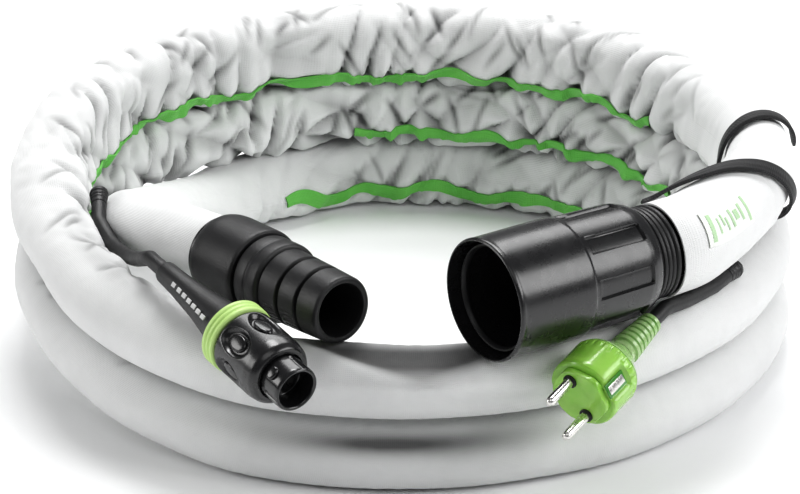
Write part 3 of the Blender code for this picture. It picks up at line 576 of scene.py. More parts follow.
def sleeve_form(route, side):
    """The gathered sleeve's radius, and the shade painted into its colour at each place, 0 to 1: darker the
    deeper it lies in a crease, in the slashes, the front hollow and the sag, and where the turns touch.

    The folds are deep and slanted on the inside of the turns, finer on top, and gone in front.
    """
    along = route.distance[:, None]
    turn = route.turn[:, None]
    level = levels(route)
    slack, inner, crown = gathering(route, side)
    reach = np.maximum(inner, 0.75 * crown)
    form = folds(along, side, level, crown)
    depth = np.clip(0.95 + 0.30 * DEPTH(along, side), 0.35, 1.2) * (0.62 + 0.38 * ramps(level, 0.0, 0.4))

    hull = hull_radius(route, side)
    puff = slack * (INNER_PUFF * inner + CROWN_PUFF * crown)
    outer = np.minimum(hull + puff, np.maximum(hull, PUFF_LIMIT))
    least = np.minimum(hull, SLEEVE_RADIUS - SLEEVE_THICKNESS)
    radius = outer - (outer - least) * np.clip(slack * reach * depth * (1.0 - form), 0.0, 1.0)
    loose = 0.0007 * SWELL(along, side) + 0.00028 * CRUMPLE(along, side) * reach * (1.0 - 0.7 * crown)
    radius = radius + slack * loose + 0.00025 * SWELL(along, side) + 0.00006 * FINE(along, side)

    degrees = np.degrees(side)
    hollow = front_hollow(turn, degrees)
    sag = near(turn, 629.0, 19.0) * near(degrees, 136.0, 24.0)
    radius = radius - HOLLOW_DEPTH * hollow - SAG_DEPTH * sag
    for start, end in HOLLOW_EDGES:
        radius = radius + HOLLOW_EDGE_HEIGHT * line_ridge(turn, degrees, start, end, 8.0)
    band = near(along, 0.100, 0.0011) - 0.7 * near(along, 0.1035, 0.0018)
    radius = radius - 0.0006 * band

    slash = slashes(along, side) * slack
    radius = radius - SLASH_DEPTH * slash
    # Where the turns lie on one another, below and above, for painted contact shade
    under = near(degrees, -78.0, 26.0) * ramps(level, 0.2, 0.5)
    over = near(degrees, 84.0, 24.0) * (1.0 - ramps(level, 0.5, 0.8))
    # Painted shade: darker the deeper in a crease, in the slashes, where the turns touch, and in the front
    # hollow and the sag
    deep = np.clip((outer - radius) / DARKEST_DEPTH, 0.0, 1.0) ** 1.6
    crease = 0.80 * deep + 0.50 * slash + 0.55 * (under + over) * slack + 1.2 * hollow + 0.85 * sag
    radius = np.minimum(radius - np.maximum(radius - WIDE, 0.0) * 0.5, WIDEST)
    return radius, np.clip(crease, 0.0, 1.0)


def grid_mesh(name, points, uv, closed_along=False):
    """A mesh from closed rings of points; uv gives each ring's and each column's place in metres."""
    rings, columns = points.shape[:2]
    along, across = (np.asarray(values, float) for values in uv)
    i, j = np.meshgrid(np.arange(rings if closed_along else rings - 1), np.arange(columns), indexing="ij")
    after, beside = (i + 1) % rings, (j + 1) % columns
    corners = ((i, j), (i, beside), (after, beside), (after, j))
    faces = np.stack([row * columns + column for row, column in corners], axis=2).reshape(-1, 4)
    columns_at, rings_at = (across[j], across[j + 1]), (along[i], along[i + 1])
    order = ((0, 0), (1, 0), (1, 1), (0, 1))
    places = np.stack([value for a, b in order for value in (columns_at[a], rings_at[b])], axis=2)
    mesh = bpy.data.meshes.new(name)
    mesh.from_pydata(points.reshape(-1, 3).tolist(), [], faces.tolist())
    layer = mesh.uv_layers.new(name="UVMap")
    layer.data.foreach_set("uv", places.astype(np.float32).reshape(-1))
    return mesh


def show(name, mesh, look, body, replaced=(), angle=38.0):
    obj = bpy.data.objects.new(name, mesh)
    bpy.context.scene.collection.objects.link(obj)
    mesh.shade_smooth()
    mesh.set_sharp_from_angle(angle=radians(angle))
    mesh.materials.append(LOOKS[look])
    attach(obj, body)
    if replaced:
        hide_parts(*replaced)
    return obj


SLEEVE_SIDES = 96
SLEEVE_SPACING = 0.0017
COLUMN_WIDTH = 0.0013
FLOOR_GAP = 0.0004
hose_points = hose_curve()
HOSE_LENGTH = (
    Route(spaced(hose_points, 0.01)).length
    + SLEEVE_START
    - HOSE_START
    + TOOL_SLEEVE_START
    - TOOL_HOSE_START
)


def add_sleeve():
    route = Route(spaced(hose_points, SLEEVE_SPACING), SLEEVE_START - HOSE_START)
    side = (2.0 * math.pi * np.arange(SLEEVE_SIDES) / SLEEVE_SIDES)[None, :]
    wrapped = np.where(side > math.pi * 1.2, side - 2.0 * math.pi, side)
    radius, crease = sleeve_form(route, wrapped)
    points = route.around(side, radius)
    inner = route.around(side, radius - SLEEVE_THICKNESS)
    shell = np.concatenate([inner[:1], points, inner[-1:]])
    shell[:, :, 2] = np.maximum(shell[:, :, 2], FLOOR_GAP)
    first, last = route.distance[0], route.distance[-1]
    along = np.concatenate([[first - 0.001], route.distance, [last + 0.001, last + 0.002]])
    mesh = grid_mesh("gathered_sleeve", shell, (along, np.arange(SLEEVE_SIDES + 1) * COLUMN_WIDTH))
    # The painted shade goes on the mesh as its crease attribute, which darkens the cloth's colour
    shade = np.concatenate([crease[:1], crease, crease[-1:]]).astype(np.float32).reshape(-1)
    mesh.attributes.new("crease", "FLOAT", "POINT").data.foreach_set("value", shade)
    inside = ["hose_sleeve", "suction_hose", "power_cable"]
    return show("gathered_sleeve", mesh, "fabric", "coil", inside, 70.0), route


def bridged(radius, reach=5):
    """The radius of a band pulled tight over the creases, a few stations wide."""
    kernel = np.ones(2 * reach + 1) / (2 * reach + 1)
    smoothed = [np.convolve(np.pad(column, reach, "edge"), kernel, "valid") for column in radius.T]
    return np.maximum(np.stack(smoothed, axis=1), radius)


def ribbon(route, stations, sides, lift, thickness):
    """Points of a band that lies on the sleeve: at each station a closed loop out and back."""
    part = route.part(stations)
    radius = bridged(sleeve_form(part, sides)[0])
    outer = part.around(sides, radius + lift + thickness)
    under = part.around(sides, radius + lift)
    return np.concatenate([outer, under[:, ::-1]], axis=1)


def band_mesh(name, points, along):
    """A band's mesh, with its place for the weave across and along it."""
    columns = points.shape[1]
    half = columns // 2
    width = np.linalg.norm(points[0, half - 1] - points[0, 0])
    across = np.concatenate([np.linspace(0.0, width, half), np.linspace(width, 0.0, half), [0.0]])
    return grid_mesh(name, points, (along, across))


# Each stretch of piping that shows, with its first and last turn in degrees
PIPING = (("upper", 35.0, 332.0), ("middle", 385.0, 460.0), ("lower", 575.0, 838.0))


def add_piping(route):
    for name, start, end in PIPING:
        stations = np.nonzero((route.turn >= start) & (route.turn <= end))[0]
        along = route.distance[stations]
        centre = cable_side(route.points[stations, 2]) + 0.12 + 0.10 * TAPE_SWAY(along, 0.0)
        half = 0.13 + 0.04 * TAPE_SWAY(along + 0.4, 0.0)
        sides = centre[:, None] + half[:, None] * np.linspace(-1.0, 1.0, 9)[None, :]
        points = ribbon(route, stations, sides, 0.0004, 0.0011)
        mesh = band_mesh("green_tape_" + name, points, along)
        show("green_tape_" + name, mesh, "green", "coil", ["seam_piping_" + name], 50.0)


LABEL_START, LABEL_END = 0.034, 0.074
LABEL_FIRST_BAR, LABEL_BAR_SPACING, LABEL_BAR_HALF = 0.0385, 0.0045, 0.0019
# The plain bars that stand for the label's print: where each starts and ends round the sleeve
LABEL_BARS = (
    (128.5, 161.5), (136.0, 155.0), (134.0, 148.0), (140.0, 156.0),
    (134.0, 156.0), (138.0, 150.0), (134.0, 155.0), (128.5, 161.5),
)


def add_label(route):
    stations = np.nonzero((route.distance >= LABEL_START) & (route.distance <= LABEL_END))[0]
    along = route.distance[stations]
    sides = np.radians(np.linspace(124.0, 166.0, 13))[None, :] * np.ones((len(along), 1))
    points = ribbon(route, stations, sides, 0.0002, 0.0006)
    show("label_patch", band_mesh("label_patch", points, along), "label", "coil", ["sleeve_label"])
    for k, (low, high) in enumerate(LABEL_BARS):
        start = LABEL_FIRST_BAR + LABEL_BAR_SPACING * k
        rows = np.nonzero(np.abs(route.distance - start) <= LABEL_BAR_HALF)[0]
        sides = np.radians(np.linspace(low, high, 7))[None, :] * np.ones((len(rows), 1))
        points = ribbon(route, rows, sides, 0.0008, 0.0002)
        mesh = band_mesh("label_bar_%d" % k, points, route.distance[rows])
        show("label_bar_%d" % k, mesh, "label_print", "coil", ())


STRAP_STATIONS = 150
STRAP_LIFT, STRAP_HALF_WIDTH, STRAP_THICKNESS = 0.0030, 0.0043, 0.0020


def add_strap(route):
    """Flat webbing wound on the sleeve, narrow at its inner end."""
    distances = [d for d, _ in STRAP_TURNS]
    turns = [radians(a) for _, a in STRAP_TURNS]
    count = STRAP_STATIONS
    along = np.linspace(distances[0], distances[-1], count)
    angle = np.interp(along, distances, turns)
    angle = np.convolve(np.pad(angle, 6, "edge"), np.ones(13) / 13.0, "valid")
    section = route.between(along)
    radius = hull_radius(section, angle[:, None])[:, 0] + STRAP_LIFT
    out = section.inward * np.cos(angle)[:, None] + section.up * np.sin(angle)[:, None]
    middle = section.points + out * radius[:, None]
    forward = np.gradient(middle, axis=0)
    forward /= np.linalg.norm(forward, axis=1)[:, None]
    wide = np.cross(forward, out)
    wide /= np.linalg.norm(wide, axis=1)[:, None]
    lift = np.cross(wide, forward)
    share = np.linspace(0.0, 1.0, count)
    half = STRAP_HALF_WIDTH * (0.40 + 0.60 * ramps(share, 0.0, 0.25))
    outline = ((-1.0, -0.5), (-1.0, 0.35), (-0.85, 0.5), (0.85, 0.5), (1.0, 0.35), (1.0, -0.5))
    rings = [middle + wide * (half * x)[:, None] + lift * (STRAP_THICKNESS * y) for x, y in outline]
    points = np.stack(rings, axis=1)
    steps = np.concatenate([[0.0], np.cumsum(np.linalg.norm(np.diff(middle, axis=0), axis=1))])
    across = np.linspace(0.0, 0.016, len(outline) + 1)
    mesh = grid_mesh("webbing_strap", points, (steps, across))
    add_caps(mesh, len(outline), count)
    show("webbing_strap", mesh, "webbing", "coil", ["tie_strap"], 50.0)


def add_caps(mesh, columns, rings):
    """Closes the two open ends of a grid mesh."""
    bm = bmesh.new()
    bm.from_mesh(mesh)
    bm.verts.ensure_lookup_table()
    bm.faces.new([bm.verts[j] for j in reversed(range(columns))])
    first = (rings - 1) * columns
    bm.faces.new([bm.verts[first + j] for j in range(columns)])
    bmesh.ops.recalc_face_normals(bm, faces=bm.faces)
    bm.to_mesh(mesh)
    bm.free()


# ---- turned pieces


def axis_frame(point, along):
    side = Vector((0.0, 0.0, 1.0)).cross(along).normalized()
    up = along.cross(side)
    return Matrix.Translation(point + COIL_CENTRE) @ Matrix((side, up, along)).transposed().to_4x4()


EXTRACTOR_FRAME = axis_frame(EXTRACTOR_MOUTH, -EXTRACTOR_BACK)
TOOL_FRAME = axis_frame(TOOL_MOUTH, -TOOL_BACK)
CONNECTOR_FRAME = axis_frame(CONNECTOR_RING, CONNECTOR_FORWARD)
PLUG_FRAME = axis_frame(PLUG_END, PLUG_FORWARD)


def beside(degrees, offset):
    """A place off the axis of a turned piece, at an angle round it."""
    return Matrix.Rotation(radians(degrees), 4, "Z") @ Matrix.Translation(offset)


def dense(profile, step):
    """The same profile with no two points further apart than the step."""
    found = []
    for (r0, z0), (r1, z1) in zip(profile, profile[1:]):
        pieces = max(1, math.ceil(math.hypot(r1 - r0, z1 - z0) / step))
        for k in range(pieces):
            part = k / pieces
            found.append((r0 + (r1 - r0) * part, z0 + (z1 - z0) * part))
    found.append(profile[-1])
    return found


def turned(
    name, profile, matrix, look, body, replaced=(), slot=None,
    segments=96, relief=None, step=0.0, angle=32.0,
):
    """A piece turned about +Z of the matrix; relief(z, turn, radius) is added to its radius."""
    ring = profile[0][0] > 0.0
    line = dense(profile, step) if step else list(profile)
    if ring:
        line = line + dense([profile[-1], profile[0]], step or 1.0)[1:-1]
    turn = 2.0 * math.pi * np.arange(segments) / segments
    radius = np.array([r for r, _ in line])[:, None] * np.ones((1, segments))
    height = np.array([z for _, z in line])[:, None] * np.ones((1, segments))
    if relief is not None:
        radius = radius + relief(height, turn[None, :], radius)
    points = np.stack([radius * np.cos(turn), radius * np.sin(turn), height], axis=2)
    steps = [math.hypot(b[0] - a[0], b[1] - a[1]) for a, b in zip(line, line[1:])]
    lengths = np.concatenate([[0.0], np.cumsum(steps)])
    lengths = np.concatenate([lengths, [lengths[-1] + 0.001]])
    across = np.linspace(0.0, 2.0 * math.pi * 0.02, segments + 1)
    mesh = grid_mesh(name, points, (lengths, across), closed_along=ring)
    tidy_mesh(mesh)
    mesh.transform(matrix)
    return show(name, mesh, look, body, replaced, angle)


def tidy_mesh(mesh):
    bm = bmesh.new()
    bm.from_mesh(mesh)
    bmesh.ops.remove_doubles(bm, verts=bm.verts, dist=1e-6)
    bmesh.ops.recalc_face_normals(bm, faces=bm.faces)
    bm.to_mesh(mesh)
    bm.free()


def rounded(radius, *corners):
    """The profile with each inner corner cut back by a small chamfer."""
    found = [corners[0]]
    for before, here, after in zip(corners, corners[1:], corners[2:]):
        for other in (before, after):
            length = math.hypot(other[0] - here[0], other[1] - here[1])
            part = min(radius / max(length, 1e-9), 0.45)
            found.append((here[0] + (other[0] - here[0]) * part, here[1] + (other[1] - here[1]) * part))
    found.append(corners[-1])
    return found


def pads(count, phase, half_width, start, end, depth, edge=0.0004):
    """Relief of long recesses spread round a turned piece."""

    def relief(height, turn, radius):
        spread = 2.0 * math.pi / count
        off = np.abs((turn - phase + spread / 2.0) % spread - spread / 2.0) * radius
        across = 1.0 - ramps(off, half_width - edge, half_width + edge)
        deep = ramps(height, start, start + 2.0 * edge) * (1.0 - ramps(height, end - 2.0 * edge, end))
        return -depth * across * deep

    return relief


def ovals(count, phase, centre, half_width, half_length, depth):
    """Relief of oval dimples spread round a turned piece."""

    def relief(height, turn, radius):
        spread = 2.0 * math.pi / count
        off = ((turn - phase + spread / 2.0) % spread - spread / 2.0) * radius
        inside = (off / half_width) ** 2 + ((height - centre) / half_length) ** 2
        return -depth * (1.0 - ramps(inside, 0.55, 1.05))

    return relief


def outside_only(limit, relief):
    """The relief on the piece's outer wall alone, past a radius."""
    return lambda height, turn, radius: relief(height, turn, radius) * (radius > limit)


def add_extractor_cuff():
    def add(name, profile, node, body="extractor_swivel", look="rubber", slot="rubber", **form):
        turned(name, profile, EXTRACTOR_FRAME, look, body, [node], slot, **form)

    profile = rounded(
        0.0003,
        (0.0286, -0.0002), (0.0292, 0.0), (0.03, -0.0008), (0.03, -0.0024), (0.0298, -0.003),
        (0.0298, -0.044), (0.0291, -0.0448), (0.029, -0.0475), (0.0282, -0.079), (0.0276, -0.0822),
        (0.0262, -0.0862), (0.0238, -0.089), (0.0193, -0.089), (0.0193, -0.0702), (0.0258, -0.0702),
        (0.0264, -0.02), (0.0284, -0.0012),
    )
    grips = pads(8, radians(7.0), 0.0046, -0.0800, -0.0472, 0.0017)
    gripped = {"segments": 480, "relief": outside_only(0.0270, grips), "step": 0.0012}
    add("cuff_body", profile, "extractor_cuff", look="plastic", slot="plastic", **gripped)
    for k in range(3):
        mark = EXTRACTOR_FRAME @ beside(-52.0 + 5.0 * k, (0.02965, 0.0, -0.036))
        plate("cuff_mark_%d" % k, mark, (0.0004, 0.0012, 0.0085), "gloss", "extractor_swivel")
    collar = [(0.0191, -0.0894)]
    for k in range(4):
        top = -0.0896 - 0.0029 * k
        out = (0.0236, 0.0231, 0.0227, 0.0229)[k]
        collar += [(out - 0.0008, top), (out, top - 0.0005)]
        collar += [(out, top - 0.0020), (out - 0.0012, top - 0.0024)]
    collar += [(0.0220, -0.1010), (0.0191, -0.1010)]
    collar = rounded(0.0002, *collar)
    add("cuff_collar", collar, "extractor_collar")
    outside = ((0.0240, -0.0666), (0.0240, -0.0697), (0.0186, -0.0697), (0.0186, -0.1008))
    inside = ((0.0157, -0.1008), (0.0157, -0.0780), (0.0134, -0.0780), (0.0152, -0.0666))
    insert = rounded(0.0003, *outside, *inside)
    add("cuff_insert", insert, "extractor_insert", "coil", "dark", "plastic", segments=64)
    lip = ((0.0250, -0.0098), (0.0242, -0.0084), (0.0242, -0.0074), (0.0250, -0.0060))
    seal = ((0.0258, -0.0058), (0.0258, -0.0100), *lip)
    add("cuff_seal", seal, "extractor_seal", segments=72)
    add_hose_end("hose_end_extractor", EXTRACTOR_FRAME, -HOSE_START - 0.0004, -0.1250)


def add_hose_end(name, matrix, start, end):
    """The ribbed end of the suction hose that shows inside a cuff."""
    count = 12
    step = (start - end) / count
    outer, inner = [], []
    for k in range(count):
        top = start - step * k
        outer += [(0.0150, top), (0.0150, top - 0.55 * step)]
        outer += [(0.0141, top - 0.65 * step), (0.0141, top - 0.95 * step)]
        inner += [(0.0128, top), (0.0128, top - 0.5 * step)]
        inner += [(0.0133, top - 0.65 * step), (0.0133, top - 0.9 * step)]
    turned(name, outer + inner[::-1], matrix, "dark", "coil", (), "hose", 48)


def plate(name, matrix, size, look, body, replaced=()):
    """A small plate with softened edges, lying in its own frame."""
    bm = bmesh.new()
    bmesh.ops.create_cube(bm, size=1.0, matrix=Matrix.Diagonal((*size, 1.0)))
    bmesh.ops.bevel(bm, geom=bm.edges[:], offset=min(size) * 0.22, segments=2, affect="EDGES", profile=0.6)
    mesh = bpy.data.meshes.new(name)
    bm.to_mesh(mesh)
    bm.free()
    mesh.transform(matrix)
    return show(name, mesh, look, body, replaced)


def add_tool_cuff():
    def add(name, profile, node, body="tool_swivel", look="rubber", slot="rubber", **form):
        turned(name, profile, TOOL_FRAME, look, body, [node], slot, **form)

    def ribs(height, turn, radius):
        below = ramps(np.cos(turn + radians(90.0)), 0.0, 0.5)
        teeth = 0.5 + 0.5 * np.cos(turn * 40.0)
        inside = ramps(height, -0.0255, -0.0245) * (1.0 - ramps(height, -0.0185, -0.0175))
        behind = ramps(height, -0.0400, -0.0390) * (1.0 - ramps(height, -0.0320, -0.0310))
        return -0.0011 * below * ramps(teeth, 0.3, 0.7) * (inside + behind)

    nose = rounded(
        0.00035,
        (0.0134, -0.0006), (0.0146, 0.0), (0.016, -0.0004), (0.0166, -0.0016), (0.0171, -0.0138),
        (0.015, -0.0142), (0.015, -0.0158), (0.0172, -0.0164), (0.0175, -0.0276), (0.0154, -0.028),
        (0.0154, -0.0296), (0.0176, -0.0302), (0.0178, -0.0425), (0.0128, -0.0425), (0.0128, -0.006),
        (0.013, -0.002),
    )
    ribbed = {"segments": 240, "relief": outside_only(0.0160, ribs), "step": 0.0014}
    add("cuff_nose", nose, "tool_cuff_nose", **ribbed)
    waist = rounded(
        0.0003,
        (0.0184, -0.0429), (0.0197, -0.0436), (0.02, -0.045), (0.02, -0.05), (0.0196, -0.0506),
        (0.0196, -0.0516), (0.02, -0.0522), (0.02, -0.0584), (0.019, -0.06), (0.0128, -0.06),
        (0.0128, -0.0429),
    )
    add("cuff_waist", waist, "tool_cuff_waist")
    bell = rounded(
        0.0004,
        (0.0205, -0.0604), (0.0215, -0.0612), (0.0218, -0.063), (0.0218, -0.086), (0.0214, -0.09),
        (0.0205, -0.0932), (0.019, -0.0948), (0.0185, -0.0948), (0.0185, -0.0604),
    )
    add("cuff_bell", bell, "tool_cuff_bell")
    inside = ((0.0157, -0.0946), (0.0157, -0.0668), (0.0128, -0.0668), (0.0128, -0.0610))
    insert = rounded(0.0003, (0.0181, -0.0610), (0.0181, -0.0946), *inside)
    add("tool_insert_ring", insert, "tool_insert", "coil", "dark", "plastic", segments=64)
    keeper = ((0.0180, -0.0954), (0.0182, -0.0964), (0.0180, -0.0974), (0.0157, -0.0974), (0.0157, -0.0954))
    add("tool_keeper_ring", keeper, "tool_retaining_ring", "coil", "plastic", "plastic", segments=64)
    add_hose_end("hose_end_tool", TOOL_FRAME, -TOOL_HOSE_START - 0.0004, -0.1100)


# ---- leads


def lead_route(gland, points, end, end_direction):
    forward = (Vector(points[0]) - gland).normalized()
    start = gland + forward * (GLAND_LENGTH + 0.0004)
    middle = [Vector(p) for p in points[1:]]
    bend = [start + forward * LEAD_STRAIGHT, *middle, end - end_direction * LEAD_STRAIGHT]
    curve = [start, *spline_through(bend)[::4], end]
    return [p + COIL_CENTRE for p in curve], forward


def add_lead(name, gland, points, end, direction, far_end, pieces):
    route, forward = lead_route(gland, points, end, direction)
    curve = bpy.data.curves.new(name, "CURVE")
    curve.dimensions = "3D"
    curve.bevel_depth = LEAD_RADIUS
    curve.bevel_resolution = 8
    curve.use_fill_caps = True
    spline = curve.splines.new("POLY")
    spline.points.add(len(route) - 1)
    for target, point in zip(spline.points, route):
        target.co = (*point, 1.0)
    spline.use_smooth = True
    curve.materials.append(LOOKS["cable"])
    lead = bpy.data.objects.new(name, curve)
    bpy.context.scene.collection.objects.link(lead)
    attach(lead, "coil")
    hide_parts(name.replace("_cord", ""))
    add_gland(name.replace("_cord", "_gland"), gland, forward)


def add_gland(name, point, forward):
    profile = rounded(
        0.0002,
        (0.0, -0.0012), (0.0044, -0.001), (0.0048, 0.0004), (0.0048, 0.0016), (0.0043, 0.002),
        (0.0046, 0.0028), (0.0044, 0.004), (0.0041, 0.0044), (0.0043, 0.0056), (0.0039, 0.0062),
        (0.004, 0.008), (0.0038, GLAND_LENGTH), (0.0, GLAND_LENGTH),
    )
    turned(name + "_boot", profile, axis_frame(point, forward), "rubber", "coil", [name], "rubber", 48)


def add_connector():
    pieces = []

    def add(name, profile, look, nodes=(), slot="plastic", body="coil", at=CONNECTOR_FRAME, **form):
        pieces.append(turned(name, profile, at, look, body, nodes, slot, **form))

    boot = rounded(
        0.0008,
        (0.0, -BOOT_LENGTH), (0.0046, -BOOT_LENGTH), (0.0056, -BOOT_LENGTH + 0.0012), (0.0062, -0.05),
        (0.0082, -0.03), (0.0106, -0.015), (0.0122, -0.0075), (0.0128, -0.0049), (0.0, -0.0049),
    )
    add("lead_boot", boot, "rubber", ["connector_boot"], "rubber", segments=72)
    for k in range(7):
        z = -0.0470 + 0.0056 * k
        lean = 0.0060 + (0.0066 * (k / 6.0) ** 1.25)
        place = CONNECTOR_FRAME @ beside(150.0, (lean + 0.0004, 0.0, z))
        pieces.append(plate("boot_mark_%d" % k, place, (0.0006, 0.0022, 0.0030), "marks", "coil"))
    ring = rounded(
        0.0002,
        (0.0164, -0.0045), (0.0176, -0.0034), (0.0176, -0.0018), (0.0169, -0.0013), (0.0169, -0.0007),
        (0.0176, -0.0002), (0.0176, 0.001), (0.0169, 0.0015), (0.0169, 0.0021), (0.0176, 0.0026),
        (0.0174, 0.004), (0.0164, 0.0045), (0.0118, 0.0045), (0.0118, -0.0045),
    )
    add("lime_ring", ring, "lime", ["connector_ring"], "lime")
    collar = rounded(
        0.0004,
        (0.016, 0.0049), (0.0168, 0.0062), (0.0168, 0.03), (0.0161, 0.0345), (0.0148, 0.0368),
        (0.0138, 0.0375), (0.0118, 0.0375), (0.0118, 0.0049),
    )
    dimples = ovals(6, radians(20.0), 0.0170, 0.0070, 0.0098, 0.0026)
    dimpled = {"segments": 240, "relief": outside_only(0.0140, dimples), "step": 0.0008, "angle": 45.0}
    add("twist_collar", collar, "plastic", ["lock_collar"], body="lock_collar_body", **dimpled)
    for k in range(6):
        place = CONNECTOR_FRAME @ beside(20.0 + 60.0 * k, (0.0142, 0.0, 0.0165))
        size = (0.0014, 0.0040, 0.0060)
        pieces.append(dome("collar_stud_%d" % k, place, size, "gloss", "lock_collar_body"))
    socket = rounded(
        0.0003,
        (0.0, -0.0045), (0.0114, -0.0045), (0.0114, 0.049), (0.0109, 0.0505), (0.0098, 0.0505),
        (0.0092, 0.0495), (0.0092, 0.039), (0.0, 0.039),
    )
    keys = pads(3, radians(75.0), 0.0012, 0.0385, 0.0502, 0.0009)
    keyed = {"segments": 160, "relief": outside_only(0.0100, keys), "step": 0.0008}
    add("socket_shell", socket, "gloss", ["connector_socket"], **keyed)
    for k in range(3):
        place = CONNECTOR_FRAME @ beside(90.0 + 120.0 * k, (0.0048, 0.0, 0.0))
        lip = ((0.0023, 0.0391), (0.0026, 0.0396), (0.0022, 0.0400), (0.0018, 0.0393))
        well = ((0.0, 0.0391), *lip, (0.0, 0.0393))
        add("socket_hole_%d" % k, well, "dark", ["socket_contact_%d" % (k + 1)], at=place, segments=32)
    place = CONNECTOR_FRAME @ beside(140.0, (0.0118, 0.0, 0.0425))
    pieces.append(dome("release_button", place, (0.0012, 0.0034, 0.0028), "gloss", "coil"))
    return pieces


def dome(name, matrix, size, look, body):
    """A low rounded stud, its size given as half extents."""
    rings, columns = 10, 28
    lift = math.pi * np.arange(rings)[:, None] / (rings - 1) - math.pi / 2.0
    turn = 2.0 * math.pi * np.arange(columns)[None, :] / columns
    flat = np.sign(lift) * np.abs(np.sin(lift)) ** 0.7 + 0.0 * turn
    wide = np.abs(np.cos(lift)) ** 0.5
    points = np.stack([flat, wide * np.cos(turn), wide * np.sin(turn)], axis=2)
    points *= np.array(size)
    mesh = grid_mesh(name, points, (np.linspace(0, 0.01, rings + 1), np.linspace(0, 0.02, columns + 1)))
    tidy_mesh(mesh)
    mesh.transform(matrix)
    return show(name, mesh, look, body)


CLIP_ANGLE = 21.0


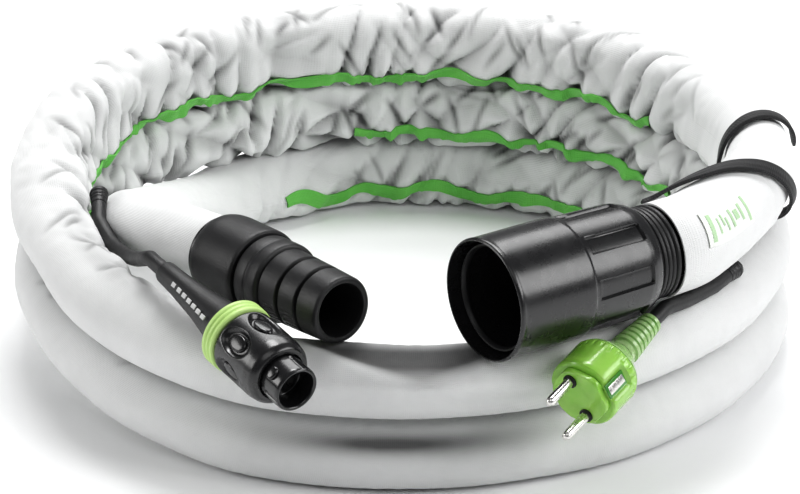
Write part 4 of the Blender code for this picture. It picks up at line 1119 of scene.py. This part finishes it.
def add_plug():
    pieces = []

    def add(name, profile, look, nodes=(), slot="clear_green", at=PLUG_FRAME, **form):
        pieces.append(turned(name, profile, at, look, "coil", nodes, slot, **form))

    relief = [(0.0, 0.0), (0.0048, 0.0)]
    count = 7
    for k in range(count):
        start = 0.0006 + 0.0036 * k
        out = 0.0056 + 0.00033 * k
        relief += [(out, start), (out, start + 0.0020)]
        relief += [(out - 0.0012, start + 0.0024), (out - 0.0012, start + 0.0033)]
    relief += [(0.0074, 0.0270), (0.0078, 0.0290), (0.0, 0.0290)]
    add("ribbed_relief", relief, "pale_green", ["plug_strain_relief"], segments=64, angle=25.0)
    core = ((0.0, 0.0008), (0.00435, 0.0010), (0.0060, 0.0255), (0.0, 0.0260))
    add("relief_core", core, "deep_green", segments=32)

    def shape(height, turn, radius):
        flat = ramps(np.abs(np.cos(turn - radians(CLIP_ANGLE))), 0.93, 0.985)
        notch = -0.0024 * flat * ramps(height, 0.0470, 0.0480)
        spread = 2.0 * math.pi / 26.0
        rib = np.abs(((turn + spread / 2.0) % spread) - spread / 2.0) / spread
        held = ramps(height, 0.0420, 0.0430) * (1.0 - ramps(height, 0.0455, 0.0465))
        grip = -0.0006 * (1.0 - ramps(rib, 0.10, 0.22)) * held
        return notch + grip

    rear = rounded(
        0.0008,
        (0.0, 0.0294), (0.0082, 0.0294), (0.01, 0.032), (0.014, 0.0375), (0.0168, 0.04),
        (0.0168, 0.0412), (0.0, 0.0412),
    )
    add("plug_rear", rear, "pale_green")
    body = rounded(
        0.0005,
        (0.0, 0.0414), (0.017, 0.0414), (0.0178, 0.0422), (0.0178, 0.06), (0.0172, 0.0618),
        (0.0152, 0.062), (0.0, 0.062),
    )
    shaped = {"segments": 208, "relief": outside_only(0.0120, shape), "step": 0.0010}
    add("plug_shell", body, "clear_green", ["plug_body"], **shaped)

    def hexagon(height, turn, radius):
        spread = math.pi / 3.0
        off = np.abs((turn - radians(CLIP_ANGLE) + spread / 2.0) % spread - spread / 2.0)
        return np.minimum(0.0, 0.0138 / np.cos(off) - radius) * (radius > 0.0120)

    rim = ((0.0150, 0.0624), (0.0150, 0.0644), (0.0140, 0.0656))
    face = rounded(0.0004, (0.0, 0.0624), *rim, (0.0, 0.0656))
    add("plug_front", face, "clear_green", ["plug_face"], segments=120, relief=hexagon, step=0.0010)
    for k, turn in enumerate((CLIP_ANGLE + 90.0, CLIP_ANGLE + 270.0)):
        place = PLUG_FRAME @ beside(turn, (0.0095, 0.0, 0.0))
        sheath = ((0.0, 0.0657), (0.0034, 0.0657), (0.0034, 0.0664), (0.0029, 0.0670), (0.0, 0.0670))
        add("pin_collar_%d" % k, sheath, "dark", at=place, segments=40)
        tip = ((0.0024, 0.0826), (0.0019, 0.0842), (0.0010, 0.0850), (0.0, 0.0850))
        pin = rounded(0.0003, (0.0, 0.0660), (0.0024, 0.0660), *tip)
        add("pin_%d" % k, pin, "steel", ["plug_pin_%d" % (k + 1)], "steel", place, segments=48)
    for k in range(2):
        place = PLUG_FRAME @ beside(CLIP_ANGLE + 180.0 * k, (0.0163, 0.0, 0.0555))
        under = place @ Matrix.Translation((-0.0004, 0.0, 0.0))
        pieces.append(plate("clip_recess_%d" % k, under, (0.0008, 0.0072, 0.0142), "deep_green", "coil"))
        nodes, size = ["earth_clip_%d" % (k + 1)], (0.0008, 0.0042, 0.0120)
        pieces.append(plate("earth_spring_%d" % k, place, size, "steel", "coil", nodes))
    return pieces


# ---- put together


FLOOR_HALF = 6.0


def add_floor():
    mesh = bpy.data.meshes.new("floor")
    corners = ((-1.0, -1.0), (1.0, -1.0), (1.0, 1.0), (-1.0, 1.0))
    mesh.from_pydata([(x * FLOOR_HALF, y * FLOOR_HALF, 0.0) for x, y in corners], [], [(0, 1, 2, 3)])
    floor = bpy.data.objects.new("floor", mesh)
    bpy.context.scene.collection.objects.link(floor)
    made = Nodes("pale_floor")
    place = made.place()
    made.colours(made.noise(place, 3.0), (0.92, 0.925, 0.93), (0.94, 0.942, 0.945))
    made.gloss(place, 40.0, 0.5, 0.6)
    mesh.materials.append(made.material)


add_camera()
add_lights()
sleeve, sleeve_route = add_sleeve()
connector_pieces = add_connector()
boot_end = CONNECTOR_RING - CONNECTOR_FORWARD * (BOOT_LENGTH + 0.0004)
tool_end = (boot_end, CONNECTOR_FORWARD, "connector", connector_pieces)
add_lead("tool_lead_cord", TOOL_GLAND, TOOL_LEAD_POINTS, *tool_end)
plug_pieces = add_plug()
relief_end = PLUG_END - PLUG_FORWARD * 0.0004
mains_end = (relief_end, PLUG_FORWARD, "plug", plug_pieces)
add_lead("mains_lead_cord", MAINS_GLAND, MAINS_LEAD_POINTS, *mains_end)
add_tool_cuff()
add_extractor_cuff()
add_piping(sleeve_route)
add_label(sleeve_route)
add_strap(sleeve_route)
add_floor()
